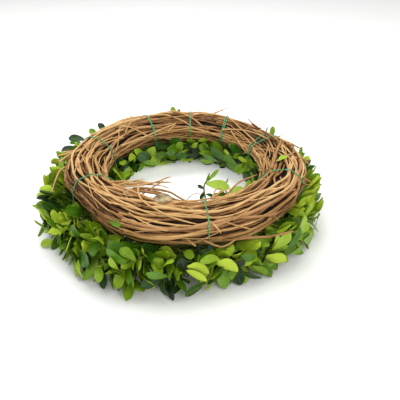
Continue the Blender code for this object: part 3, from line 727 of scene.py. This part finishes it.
def leaf_pattern():
    """The grid of a leaf: (across, along, underside) for each point, then faces, finishes.

    The upper and lower skins meet at the rim.
    """
    spots, index = [], {}
    for lower in (0, 1):
        for i, along in enumerate(ROWS_ALONG):
            for j, across in enumerate(ROWS_ACROSS):
                rim = i in (0, len(ROWS_ALONG) - 1) or j in (0, len(ROWS_ACROSS) - 1)
                if lower and rim:
                    index[1, i, j] = index[0, i, j]
                else:
                    index[lower, i, j] = len(spots)
                    spots.append((across, along, lower))
    faces, finishes = [], []
    for lower in (0, 1):
        for i in range(len(ROWS_ALONG) - 1):
            for j in range(len(ROWS_ACROSS) - 1):
                corners = [index[lower, i, j], index[lower, i, j + 1],
                           index[lower, i + 1, j + 1], index[lower, i + 1, j]]
                faces.append(tuple(corners[::-1] if lower else corners))
                finishes.append(lower)
    return np.array(spots), faces, finishes


LEAF_SPOTS, LEAF_FACES, LEAF_FINISHES = leaf_pattern()
LEAF_GROWN = np.stack((LEAF_SPOTS[:, 0], LEAF_SPOTS[:, 1], np.zeros(len(LEAF_SPOTS))), -1)
LEAF_SAMPLES = [
    spot for spot, (across, along, lower) in enumerate(LEAF_SPOTS)
    if not lower and along in ROWS_ALONG[2:7] and abs(across) in (0, 0.5)
]
LEAF_SAMPLES += [
    spot for spot, (across, along, lower) in enumerate(LEAF_SPOTS)
    if not lower and along == 0.66 and abs(across) == 1
]


def leaf_points(place, along, upper, size, slim, draw, curl=0.0):
    """The points of a leaf: a wedge at its base, widest past its middle, with a round tip."""
    across, share, lower = LEAF_SPOTS.T
    length = LEAF_LENGTH * size
    half = LEAF_WIDTH * size * slim / 2
    blunt = 0.012 + 0.976 * share
    outline = blunt ** WEDGE * (1 - blunt) ** ROUND_TIP / WIDEST
    tip = np.interp(np.abs(across), (0, 0.5, 1), (NOTCH, 0.0, TIP_CORNERS)) * share ** 6
    cup = draw.uniform(*LEAF_CUP) + curl
    droop = draw.uniform(*LEAF_DROOP)
    twist = draw.normal(0, LEAF_TWIST)
    wave = draw.normal(0, LEAF_WAVE)
    x = half * outline * across
    y = length * (share - tip)
    z = cup * half * outline * np.abs(across) ** 1.2 - droop * length * share ** 2
    z += wave * length * np.sin(TAU * share) * across
    z -= lower * LEAF_THICKNESS * (1 - across ** 2)
    turn = twist * share
    x, z = x * np.cos(turn) - z * np.sin(turn), x * np.sin(turn) + z * np.cos(turn)
    side = np.cross(along, upper)
    return place + np.outer(y, along) + np.outer(x, side) + np.outer(z, upper)


def within_foliage(points):
    """Whether all points keep out of the vines, off the surface and inside the foliage."""
    rho = np.hypot(points[:, 0], points[:, 1])
    angle = np.degrees(np.arctan2(points[:, 1], points[:, 0])) % 360
    z = points[:, 2]
    inward = RING_HALF_WIDTH * (1 - uneven_share(np.radians(angle), NARROWER))
    half_width = RING_HALF_WIDTH - np.where(rho > RING_RADIUS, inward, 0) + AROUND_RING
    ring = ((rho - RING_RADIUS) / half_width) ** 2
    ring += ((z - RING_HEIGHT) / (RING_HALF_HEIGHT + AROUND_RING)) ** 2
    if ring.min() < 1 or z.min() < FLOOR_GAP or rho.min() < FOLIAGE_INNER:
        return False
    if np.any(z < np.interp(angle, *zip(*HOLE_RISE)) * (RISES_FROM - rho)):
        return False
    if np.any(rho > np.interp(angle, *zip(*FOLIAGE_REACH))):
        return False
    top = np.interp(angle, *zip(*FOLIAGE_TOP))
    in_front = (angle > FRONT_FROM) & (angle < FRONT_TO)
    top = np.minimum(top + in_front * FRONT_SLOPE * (rho - TOP_AT + inward), HIGHEST)
    return not np.any(z > np.where(rho > RING_RADIUS, top, np.interp(angle, *zip(*HOLE_TOP))))


class Crowd:
    """Remembers points on the leaves already set, so that the next ones keep off them."""

    def __init__(self):
        self.middles = np.zeros((9000, 3))
        self.samples = np.zeros((9000, len(LEAF_SAMPLES), 3))
        self.count = 0

    def has_room(self, samples):
        near = self.middles[:self.count] - samples.mean(0)
        near = np.einsum("ij,ij->i", near, near) < NEIGHBOURS_WITHIN ** 2
        others = self.samples[:self.count][near].reshape(-1, 1, 3)
        return not len(others) or ((others - samples) ** 2).sum(-1).min() > LEAVES_APART ** 2

    def add(self, samples):
        self.middles[self.count] = samples.mean(0)
        self.samples[self.count] = samples
        self.count += 1


CROWD = Crowd()


def add_leaf(heap, draw, place, along, upper, size, tone, stem_way):
    """Adds a leaf where it finds room as it turns about its stem. Says whether it did."""
    for trial in range(TRIES):
        loose = trial / TRIES
        tilt = Matrix.Rotation(draw.normal(0, TILT + TILT_MORE * loose), 3, stem_way)
        nod = Matrix.Rotation(draw.normal(0, NOD + NOD_MORE * loose), 3, along.cross(upper))
        way, face = nod @ tilt @ along, nod @ tilt @ upper
        points = leaf_points(
            np.array(place), np.array(way), np.array(face), size, draw.uniform(*LEAF_SLIM), draw
        )
        samples = points[LEAF_SAMPLES]
        blade = points[LEAF_SPOTS[:, 1] > LEAF_BASE]
        if within_foliage(blade) and CROWD.has_room(samples):
            CROWD.add(samples)
            heap.add(points, LEAF_FACES, LEAF_FINISHES, LEAF_GROWN, float(np.clip(tone, 0, 1)))
            return True
    return False


def add_sprig(heap, draw, root, grows, pairs, turned):
    """Pairs of leaves up to a last small pair, and the stem as far as they found room."""
    bend = Vector(draw.normal(0, SPRIG_BEND, 3))
    line = [root]
    for share in np.linspace(0, 1, pairs + 2)[1:]:
        line.append(line[-1] + (grows + bend * share).normalized() * PAIR_SPACING)
    tones, chances = zip(*SPRIG_TONES)
    around = math.atan2(root.y, root.x)
    # Tone by place round the ring, partly painted light and shade, and low in the hole as painted
    # shade
    age_and_light = np.interp(math.degrees(around) % 360, *zip(*AGE_AND_LIGHT_ROUND_RING))
    if line[-1].xy.length < HOLE_WITHIN:
        age_and_light = HOLE_TONE_PAINTED_SHADE
    sprig_tone = draw.choice(tones, p=chances) + age_and_light
    middle = Vector((math.cos(around), math.sin(around), 0)) * RING_RADIUS + UP * STEMS_MIDDLE
    sideways = grows.cross(line[-1] - middle).normalized()
    face_out = draw.choice((-1, 1), p=FACES_IN_OR_OUT)
    filled = 0
    for pair in range(pairs + 1):
        if line[pair + 1].z < STEM_LOWEST:
            break
        last = pair == pairs
        opening = math.radians(draw.uniform(*(LAST_OPENS if last else PAIR_OPENS)))
        size = draw.uniform(*(LAST_SIZE if last else PAIR_SIZE))
        turn = pair * (1 - turned) * math.pi / 2 + draw.normal(0, PAIR_TURN_VARIES)
        for half in (0, math.pi):
            outward = Matrix.Rotation(turn + half, 3, grows) @ sideways
            along = grows * math.cos(opening) + outward * math.sin(opening)
            upper = grows * math.sin(opening) - outward * math.cos(opening)
            facing = (line[pair + 1] - middle).normalized() * face_out
            face = upper * (1 - turned) + facing * turned
            face = (face - along * along.dot(face)).normalized()
            tone = sprig_tone + draw.normal(0, LEAF_TONES_VARY) + YOUNGER_AT_TIP * last
            if add_leaf(heap, draw, line[pair + 1], along, face, size, tone, grows):
                filled = pair + 1
    stem = np.array(line[:filled + 1])
    if filled:
        tip_radius = SPRIG_STEM_RADIUS - THINNER_EACH_PAIR * filled
        thin = np.linspace(SPRIG_STEM_RADIUS, tip_radius, len(stem))
        add_stem(heap, stem, thin, 5, 2, draw.random(), draw.uniform(0, 9))


def build_bunch(heap, draw, start, end):
    """Stems along the ring, and sprigs that root in them row by row."""
    for number in range(STEMS_IN_BUNCH):
        phi = draw.uniform(0, TAU)
        deep = draw.uniform(0.2, 1) ** 0.5
        share = np.linspace(-STEMS_START_BEFORE, 1, 9)
        theta = start + (end - start) * share
        rho = RING_RADIUS + (STEMS_HALF_WIDTH - BUNDLE_STEM_RADIUS) * deep * math.cos(phi)
        rho = rho + waver(draw, share, STEM_WAVERS)
        z = STEMS_MIDDLE + (STEMS_HALF_HEIGHT - BUNDLE_STEM_RADIUS) * deep * math.sin(phi)
        z = z + waver(draw, share, STEM_HEIGHT_WAVERS)
        line = np.stack((rho * np.cos(theta), rho * np.sin(theta), z), -1)
        add_stem(heap, line, BUNDLE_STEM_RADIUS * draw.uniform(0.6, 1.0), 6, 2, draw.random())
    for rooted, heading, lean, count, pairs, turned in SPRIG_ROWS:
        for place in range(count):
            theta = start + (end - start) * (place + draw.uniform(0.2, 0.8)) / count
            outward = Vector((math.cos(theta), math.sin(theta), 0))
            forward = Vector((-math.sin(theta), math.cos(theta), 0))
            where = math.radians(rooted + draw.normal(0, ROOT_VARIES))
            way = math.radians(heading + draw.normal(0, HEADING_VARIES))
            slant = math.radians(lean + draw.normal(0, LEAN_VARIES))
            root = outward * (RING_RADIUS + 0.9 * STEMS_HALF_WIDTH * math.cos(where))
            root += UP * (STEMS_MIDDLE + 0.8 * STEMS_HALF_HEIGHT * math.sin(where))
            in_section = outward * math.cos(way) + UP * math.sin(way)
            grows = (in_section * math.cos(slant) + forward * math.sin(slant)).normalized()
            more = int(draw.random() < ONE_PAIR_MORE)
            add_sprig(heap, draw, root, grows, pairs + more, turned)


def leaf_finish(name, codes, roughness, gloss, rib, mottle=0.36):
    """A leathery leaf: its midrib and rim are a little paler, and its side veins dent it."""
    made, tree, shader = new_material(name, Roughness=roughness, Specular_IOR_Level=gloss)
    grown = add_node(tree, "ShaderNodeAttribute", {"attribute_name": "grown"})
    tone = add_node(tree, "ShaderNodeAttribute", {"attribute_name": "tone"})
    parts = add_node(tree, "ShaderNodeSeparateXYZ", Vector=grown.outputs["Vector"])
    side = add_node(tree, "ShaderNodeMath", {"operation": "ABSOLUTE"}, _0=parts.outputs["X"])
    place = add_node(tree, "ShaderNodeTexCoord")
    # Blotches some 6 mm across
    blotches = add_node(
        tree, "ShaderNodeTexNoise", Vector=place.outputs["Object"], Scale=160.0, Detail=3.0
    )
    shade = add_node(
        tree, "ShaderNodeMath", {"operation": "MULTIPLY_ADD"},
        _0=blotches.outputs["Fac"], _1=mottle, _2=tone.outputs["Fac"],
    )
    centred = add_node(
        tree, "ShaderNodeMath", {"operation": "SUBTRACT"}, _0=shade.outputs[0], _1=mottle / 2
    )
    blade = add_node(
        tree, "ShaderNodeValToRGB", stops=list(zip((0.0, 0.33, 0.66, 1.0), codes)),
        Fac=centred.outputs[0],
    )
    midrib = add_node(
        tree, "ShaderNodeMapRange", {"interpolation_type": "SMOOTHSTEP"},
        Value=side.outputs[0], From_Min=0.01, From_Max=0.07, To_Min=0.24, To_Max=0.0,
    )
    ribbed = add_node(
        tree, "ShaderNodeMix", {"data_type": "RGBA"},
        Factor=midrib.outputs[0], _6=blade.outputs["Color"], _7=srgb(rib),
    )
    rim = add_node(
        tree, "ShaderNodeMapRange", {"interpolation_type": "SMOOTHSTEP"},
        Value=side.outputs[0], From_Min=0.88, From_Max=1.0, To_Min=0.0, To_Max=0.22,
    )
    edged = add_node(
        tree, "ShaderNodeMix", {"data_type": "RGBA"},
        Factor=rim.outputs[0], _6=ribbed.outputs[2], _7=srgb(rib),
    )
    tree.links.new(edged.outputs[2], shader.inputs["Base Color"])
    # Side veins, about 2.4 mm apart, run out and forward from the midrib
    slope = add_node(
        tree, "ShaderNodeMath", {"operation": "MULTIPLY_ADD"},
        _0=side.outputs[0], _1=-0.22, _2=parts.outputs["Y"],
    )
    beat = add_node(
        tree, "ShaderNodeMath", {"operation": "MULTIPLY"}, _0=slope.outputs[0], _1=66.0
    )
    veins = add_node(tree, "ShaderNodeMath", {"operation": "SINE"}, _0=beat.outputs[0])
    bump = add_node(
        tree, "ShaderNodeBump", Height=veins.outputs[0], Strength=0.25, Distance=0.0003
    )
    tree.links.new(bump.outputs[0], shader.inputs["Normal"])
    return made


waxy_upper = leaf_finish(
    "boxwood_waxy_upper", ("#0E2206", "#2C580C", "#5E8A12", "#93B022"), 0.36, 0.30, "#86A640"
)
matt_under = leaf_finish(
    "boxwood_matt_underside", ("#26460A", "#5C7E12", "#8AA820", "#AEC536"), 0.55, 0.20, "#A8BC50"
)
green_stem = bark_finish("boxwood_green_stem", ("#2E3A14", "#4C5E20", "#6C7630", "#8C7A48"), 0.6)
boxwood = [waxy_upper, matt_under, green_stem]

bunch_heaps = []
starts = []
for tie, after, count in zip(TIES, (*TIES[1:], TIES[0] + 360), BUNCHES_AFTER_TIE):
    starts += [math.radians(tie + (after - tie) * part / count) for part in range(count)]
for number, (start, end) in enumerate(zip(starts, (*starts[1:], starts[0] + TAU)), 1):
    heap = Heap()
    build_bunch(heap, np.random.default_rng(700 + number), start, end)
    bunch_heaps.append(heap)

# Two loose sprigs grow up past the vines into the hole, out of the first and second bunch.
# Two leaves lie caught in the vines, and others stand out past the ring at the back. Each leaf
# is the number of its bunch, a place, a direction, the way its face looks, a size, how slim it
# is and a tone.
LOOSE_STEMS = (
    (1, ((0.026, -0.095, 0.029), (0.022, -0.078, 0.046), (0.019, -0.064, 0.058),
         (0.0200, -0.0560, 0.0625), (0.0255, -0.0520, 0.0660))),
    (2, ((0.062, -0.078, 0.030), (0.052, -0.070, 0.044), (0.043, -0.062, 0.053),
         (0.0400, -0.0570, 0.0580))),
)
PLACED_LEAVES = (
    (1, (0.02, -0.056, 0.0625), (0.95, -0.28, 0.03), (0.05, -0.42, 0.9), 1.0, 0.95, 0.95),
    (1, (0.0215, -0.0545, 0.0635), (0.72, 0.54, 0.43), (0.3, -0.8, 0.52), 0.74, 0.42, 0.85),
    (1, (0.0215, -0.0545, 0.0635), (0.33, 0.72, 0.61), (0.7, -0.6, 0.4), 0.4, 0.55, 0.7),
    (1, (0.019, -0.064, 0.058), (-0.4, -0.3, -0.85), (-0.55, -0.6, 0.5), 0.4, 0.9, 0.15),
    (1, (0.0195, -0.062, 0.0595), (-0.75, 0.25, 0.3), (0.2, -0.7, 0.68), 0.32, 0.9, 0.15),
    (1, (0.0205, -0.066, 0.056), (0.8, 0.1, -0.3), (0.3, -0.6, 0.74), 0.34, 0.9, 0.3),
    (2, (0.04, -0.0585, 0.056), (-0.6, -0.2, -0.6), (-0.4, -0.6, 0.68), 0.6, 0.9, 0.7),
    (2, (0.043, -0.061, 0.054), (0.92, 0.25, 0.1), (0.0, -0.5, 0.85), 0.72, 1.0, 0.95),
    (2, (0.044, -0.064, 0.054), (-0.9, -0.1, -0.1), (0.0, -0.5, 0.86), 0.78, 0.9, 0.55),
    (2, (0.047, -0.064, 0.05), (0.9, 0.42, 0.06), (0.05, -0.55, 0.8), 0.85, 1.0, 0.85),
    (2, (0.04, -0.057, 0.058), (0.35, 0.55, 0.72), (0.8, -0.55, 0.2), 0.42, 0.5, 0.75),
    (4, (0.099, -0.029, 0.0722), (0.66, 0.74, 0.06), (-0.1, -0.05, 0.99), 0.66, 0.85, 1.0),
    (15, (-0.07, -0.109, 0.0562), (0.8, -0.56, 0.12), (-0.35, -0.6, 0.72), 0.62, 0.85, 0.6),
    (11, (-0.105, 0.113, 0.044), (-0.55, 0.5, 0.67), (0.1, -0.8, 0.6), 0.7, 0.95, 0.05),
    (11, (-0.114, 0.103, 0.042), (-0.7, 0.45, 0.55), (0.2, -0.7, 0.68), 0.68, 0.95, 0.8),
    (9, (-0.013, 0.143, 0.053), (-0.15, 0.5, 0.85), (0.1, -0.8, 0.6), 0.6, 1.0, 0.9),
    (9, (-0.01, 0.143, 0.052), (0.35, 0.5, 0.8), (-0.1, -0.8, 0.6), 0.52, 0.8, 0.6),
    (7, (0.1125, 0.079, 0.049), (0.1, 0.0, 0.99), (0.1, -0.9, 0.1), 0.6, 0.9, 0.9),
    (5, (0.137, 0.027, 0.044), (0.1, 0.1, 0.98), (0.2, -0.9, 0.1), 0.66, 0.6, 0.8),
    (5, (0.1385, 0.004, 0.044), (0.5, 0.1, 0.85), (-0.3, -0.9, 0.2), 0.5, 0.6, 0.3),
    (11, (-0.1264, 0.0796, 0.05), (-0.96, 0.24, 0.09), (0.05, -0.45, 0.89), 0.92, 0.9, 0.12),
    (11, (-0.1355, 0.0659, 0.047), (-0.93, -0.33, -0.05), (0.0, -0.45, 0.89), 0.74, 0.95, 0.05),
    (11, (-0.13, 0.0735, 0.049), (-0.97, 0.05, 0.1), (0.1, -0.6, 0.79), 0.6, 0.85, 0.4),
)
loose_draw = np.random.default_rng(90)
for number, route in LOOSE_STEMS:
    stem_line = smooth_line(route, 5)
    thin = np.linspace(0.0012, 0.0006, len(stem_line))
    add_stem(bunch_heaps[number - 1], stem_line, thin, 6, 2, 0.1)
for number, place, along, upper, size, slim, tone in PLACED_LEAVES:
    way = Vector(along).normalized()
    face = (Vector(upper) - way * way.dot(Vector(upper))).normalized()
    points = leaf_points(np.array(place), np.array(way), np.array(face), size, slim, loose_draw)
    bunch_heaps[number - 1].add(points, LEAF_FACES, LEAF_FINISHES, LEAF_GROWN, tone)

for number, heap in enumerate(bunch_heaps, 1):
    heap.piece(f"boxwood_{number:02d}", boxwood, "boxwood", f"boxwood_bunch_{number:02d}")

# The ties
#
# Green coated florist's wire, drawn tight round the vines and the stems under them, so
# that it lies on the highest vines and spans the dips between them. Two ties are doubled
# and one is twisted, and the front one ends in a dark twisted tail.

WIRE_RADIUS = 0.00057
# How far each wire turns round the ring on its way over the top, in degrees
TIE_SLANTS = (-1, 3, 2, 3.5, 1, -1, -5, -2)
# How far each of the two wires of a doubled tie strays over the top, in degrees
DOUBLED_TIES = {3: (1.0, -4.5), 4: (-0.75, 0.75)}
TWISTED_TIES = (6,)
TWISTS = 9
TWIST_PARTS = 0.35
SLANT_GROWS = 2.5
# The middle of a tie lies between the vines and the stems. From far out, a wire is let in
# towards it, here and a little to each side, in radians, until it meets what it holds.
TIE_CENTRE_DROP = 0.0090
TIE_POINTS = 150
SEEK_FROM = 0.05
SEEK_ASIDE = (-0.008, 0, 0.008)
LEAST_REACH = 0.010
STRAIGHT = 1e-8
BUNDLE_STEPS, BUNDLE_SIDES = 180, 24
TAIL_RADIUS = WIRE_RADIUS * 1.2


def bundle_tree():
    """The outside of the bundled stems, all round, for the wires to lie on."""
    around, section = np.meshgrid(
        TAU * np.arange(BUNDLE_STEPS) / BUNDLE_STEPS,
        TAU * np.arange(BUNDLE_SIDES) / BUNDLE_SIDES, indexing="ij",
    )
    rho = RING_RADIUS + STEMS_HALF_WIDTH * np.cos(section)
    z = STEMS_MIDDLE + STEMS_HALF_HEIGHT * np.sin(section)
    points = np.stack((rho * np.cos(around), rho * np.sin(around), z), -1).reshape(-1, 3)
    return BVHTree.FromPolygons(points.tolist(), round_faces(BUNDLE_STEPS, BUNDLE_SIDES))


def outermost(theta, phi, trees):
    """How far out and up what a wire holds reaches, at angle phi on the section."""
    reach = LEAST_REACH
    way = Vector((
        math.cos(phi) * math.cos(theta), math.cos(phi) * math.sin(theta), math.sin(phi)
    ))
    for aside in SEEK_ASIDE:
        around = theta + aside
        middle = Vector((
            RING_RADIUS * math.cos(around), RING_RADIUS * math.sin(around),
            RING_HEIGHT - TIE_CENTRE_DROP,
        ))
        for tree in trees:
            hit = tree.ray_cast(middle + way * SEEK_FROM, -way, SEEK_FROM)
            if hit[0] is not None:
                reach = max(reach, SEEK_FROM - hit[3])
    reach += WIRE_RADIUS
    return (RING_RADIUS + reach * math.cos(phi),
            RING_HEIGHT - TIE_CENTRE_DROP + reach * math.sin(phi))


def drawn_tight(places):
    """Drops the places where the wire would sag in between its neighbours."""
    places = list(places)
    sagging = True
    while sagging:
        sagging = False
        for spot in range(len(places)):
            before, here, after = (places[(spot + step) % len(places)] for step in (-1, 0, 1))
            turn = ((here[1] - before[1]) * (after[2] - before[2])
                    - (here[2] - before[2]) * (after[1] - before[1]))
            if turn < STRAIGHT:
                del places[spot]
                sagging = True
                break
    return places


def wire_loop(tie, slant, part, twist, trees):
    """The middle line of one turn of wire, parted or twisted a little from its tie."""
    places = []
    for step in range(TIE_POINTS):
        phi = TAU * step / TIE_POINTS
        above = min(1.0, max(0.0, SLANT_GROWS * math.sin(phi)))
        turn = slant * math.cos(phi) * above + part * max(0.0, math.sin(phi))
        turn += twist * math.sin(TWISTS * phi)
        theta = math.radians(tie + turn)
        places.append((theta, *outermost(theta, phi, trees)))
    line = [
        (out * math.cos(theta), out * math.sin(theta), up)
        for theta, out, up in drawn_tight(places)
    ]
    return smooth_line(line + line[:1], 3)


def wire_finish(name, codes, roughness):
    """Thin plastic coating on steel wire: a soft sheen, with worn and dusty patches."""
    made, tree, shader = new_material(name, Roughness=roughness, Specular_IOR_Level=0.4)
    grown = add_node(tree, "ShaderNodeAttribute", {"attribute_name": "grown"})
    # Patches about 4 mm long
    wear = add_node(
        tree, "ShaderNodeTexNoise", Vector=grown.outputs["Vector"], Scale=260.0, Detail=4.0
    )
    colour = add_node(
        tree, "ShaderNodeValToRGB", stops=list(zip((0.30, 0.50, 0.70), codes)),
        Fac=wear.outputs["Fac"],
    )
    tree.links.new(colour.outputs["Color"], shader.inputs["Base Color"])
    return made


green_wire = wire_finish("green_coated_wire", ("#22743F", "#3A9C60", "#74C296"), 0.38)
dark_wire = wire_finish("dark_wire_tail", ("#0A211A", "#14372C", "#1F4A3C"), 0.5)

# The tail's two ends: angle round the ring, distance from its axis and height
TAIL_ENDS = (
    ((280.0, 0.1345, 0.0445), (278.2, 0.1372, 0.0405), (275.8, 0.1378, 0.0400),
     (274.2, 0.1370, 0.0440), (275.2, 0.1362, 0.0470)),
    ((280.2, 0.1350, 0.0450), (278.8, 0.1368, 0.0455), (277.4, 0.1384, 0.0415),
     (276.2, 0.1390, 0.0385), (274.6, 0.1384, 0.0400)),
)

held_trees = [*vine_trees, bundle_tree()]
for number, (tie, slant) in enumerate(zip(WIRES_AT, TIE_SLANTS), 1):
    heap = Heap()
    turns = [(0.0, 0.0)]
    if number in DOUBLED_TIES:
        turns = [(part, 0.0) for part in DOUBLED_TIES[number]]
    if number in TWISTED_TIES:
        turns = [(0.0, -TWIST_PARTS), (0.0, TWIST_PARTS)]
    for part, twist in turns:
        add_stem(heap, wire_loop(tie, slant, part, twist, held_trees), WIRE_RADIUS, 8, 0, 0.5)
    if number == 1:
        for end in TAIL_ENDS:
            route = [
                (rho * math.cos(math.radians(angle)), rho * math.sin(math.radians(angle)), z)
                for angle, rho, z in end
            ]
            add_stem(heap, smooth_line(route, 6), TAIL_RADIUS, 8, 1, 0.5)
    heap.piece(f"wire_{number:02d}", [green_wire, dark_wire], "wire", f"tie_wire_{number:02d}")

# The dry leaf
#
# One dead boxwood leaf, gone beige, broad and curled. It lies loose on the ridges of the
# vines at the inner edge of the front, where it fell.

DRY_LEAF_SIZE = 0.70
DRY_LEAF_SLIM = 1.50
DRY_LEAF_TILT = 0.22
DRY_LEAF_CURL = 0.12
DRY_LEAF_GAP = 0.0002
dry_finish = leaf_finish(
    "dry_leaf_beige", ("#463A26", "#74644A", "#A8946E", "#CCBC94"), 0.75, 0.2, "#C8B88C", 1.5
)
dry_low, dry_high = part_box("dry_leaf")
dry_middle = (dry_low + dry_high) / 2 - Vector(RING_AXIS)
dry_out = Vector((dry_middle.x, dry_middle.y, 0)).normalized()
dry_along = UP.cross(dry_out)
dry_place = dry_middle - dry_along * (LEAF_LENGTH * DRY_LEAF_SIZE / 2)
dry_upper = (UP + dry_out * DRY_LEAF_TILT).normalized()
dry_points = leaf_points(
    np.array(dry_place), np.array(dry_along), np.array(dry_upper),
    DRY_LEAF_SIZE, DRY_LEAF_SLIM, np.random.default_rng(3), DRY_LEAF_CURL,
)
gaps = []
for point in dry_points:
    above = Vector(point) + UP * SEEK_FROM
    hits = [tree.ray_cast(above, -UP)[3] for tree in vine_trees]
    gaps.append(min((hit for hit in hits if hit is not None), default=1.0) - SEEK_FROM)
dry_points[:, 2] -= min(gaps) - DRY_LEAF_GAP
dry_heap = Heap()
dry_heap.add(dry_points, LEAF_FACES, LEAF_FINISHES, LEAF_GROWN, 0.5)
dry_heap.piece("curled_dry_leaf", [dry_finish, dry_finish], "dry_leaf", "dry_leaf")

# The studio
#
# A white table that glows a little inside the wreath, a painted pool of light with no lamp,
# soft light from above and in front, and a camera where the photograph's was.

CAMERA_PLACE = (RING_AXIS[0], RING_AXIS[1] - 0.4373, 0.2892)
CAMERA_PITCH = 0.5735
CAMERA_YAW = 0.0396
CAMERA_LENS = 39.45
TABLE_SIZE = 8.0
# The painted pool of light on the table: how strongly it glows, where it is full and where it has
# faded
TABLE_PAINTED_GLOW = 0.45
PAINTED_GLOW_WITHIN, PAINTED_GLOW_FADES_BY = 0.095, 0.130
DAYLIGHT = 0.75
LAMPS_FACE = Vector((0, 0, 0.03))

bpy.ops.mesh.primitive_plane_add(size=TABLE_SIZE)
table = bpy.context.object
table.name = "table"
# White laminate: an even, matt white with the faintest clouds, about 11 cm across
table_top, table_tree, table_shader = new_material("white_laminate", Roughness=0.6)
table_place = add_node(table_tree, "ShaderNodeTexCoord")
table_grain = add_node(
    table_tree, "ShaderNodeTexNoise", Vector=table_place.outputs["Object"], Scale=9.0
)
table_colour = add_node(
    table_tree, "ShaderNodeValToRGB", stops=((0.0, "#F4F4F3"), (1.0, "#F8F8F7")),
    Fac=table_grain.outputs["Fac"],
)
table_tree.links.new(table_colour.outputs["Color"], table_shader.inputs["Base Color"])
# Painted light: the table glows inside the wreath and fades out under the ring, with no lamp there
from_axis = add_node(
    table_tree, "ShaderNodeVectorMath", {"operation": "LENGTH"}, _0=table_place.outputs["Object"]
)
painted_glow = add_node(
    table_tree, "ShaderNodeMapRange", {"interpolation_type": "SMOOTHSTEP"},
    Value=from_axis.outputs["Value"], From_Min=PAINTED_GLOW_WITHIN, From_Max=PAINTED_GLOW_FADES_BY,
    To_Min=TABLE_PAINTED_GLOW, To_Max=0.0,
)
table_shader.inputs["Emission Color"].default_value = (1, 1, 1, 1)
table_tree.links.new(painted_glow.outputs[0], table_shader.inputs["Emission Strength"])
table.data.materials.append(table_top)


def add_lamp(name, place, size, power):
    """A soft square lamp that faces the wreath."""
    lamp = bpy.data.lights.new(name, "AREA")
    lamp.size = size
    lamp.energy = power
    made = bpy.data.objects.new(name, lamp)
    made.location = place
    made.rotation_euler = (LAMPS_FACE - Vector(place)).to_track_quat("-Z", "Y").to_euler()
    bpy.context.scene.collection.objects.link(made)


add_lamp("ceiling_lamp", (-0.25, 0.35, 1.4), 1.3, 17)
add_lamp("front_lamp", (0.6, -1.2, 1.0), 1.0, 8)
world = bpy.data.worlds.new("studio")
world.use_nodes = True
sky = world.node_tree.nodes["Background"]
sky.inputs["Color"].default_value = (1, 1, 1, 1)
sky.inputs["Strength"].default_value = DAYLIGHT
bpy.context.scene.world = world
bpy.context.scene.view_settings.view_transform = "Standard"

camera = bpy.data.cameras.new("camera")
camera.lens = CAMERA_LENS
camera.sensor_width = 36
camera.clip_start = 0.01
viewer = bpy.data.objects.new("camera", camera)
viewer.location = CAMERA_PLACE
viewer.rotation_euler = (math.pi / 2 - CAMERA_PITCH, 0, -CAMERA_YAW)
bpy.context.scene.collection.objects.link(viewer)
bpy.context.scene.camera = viewer
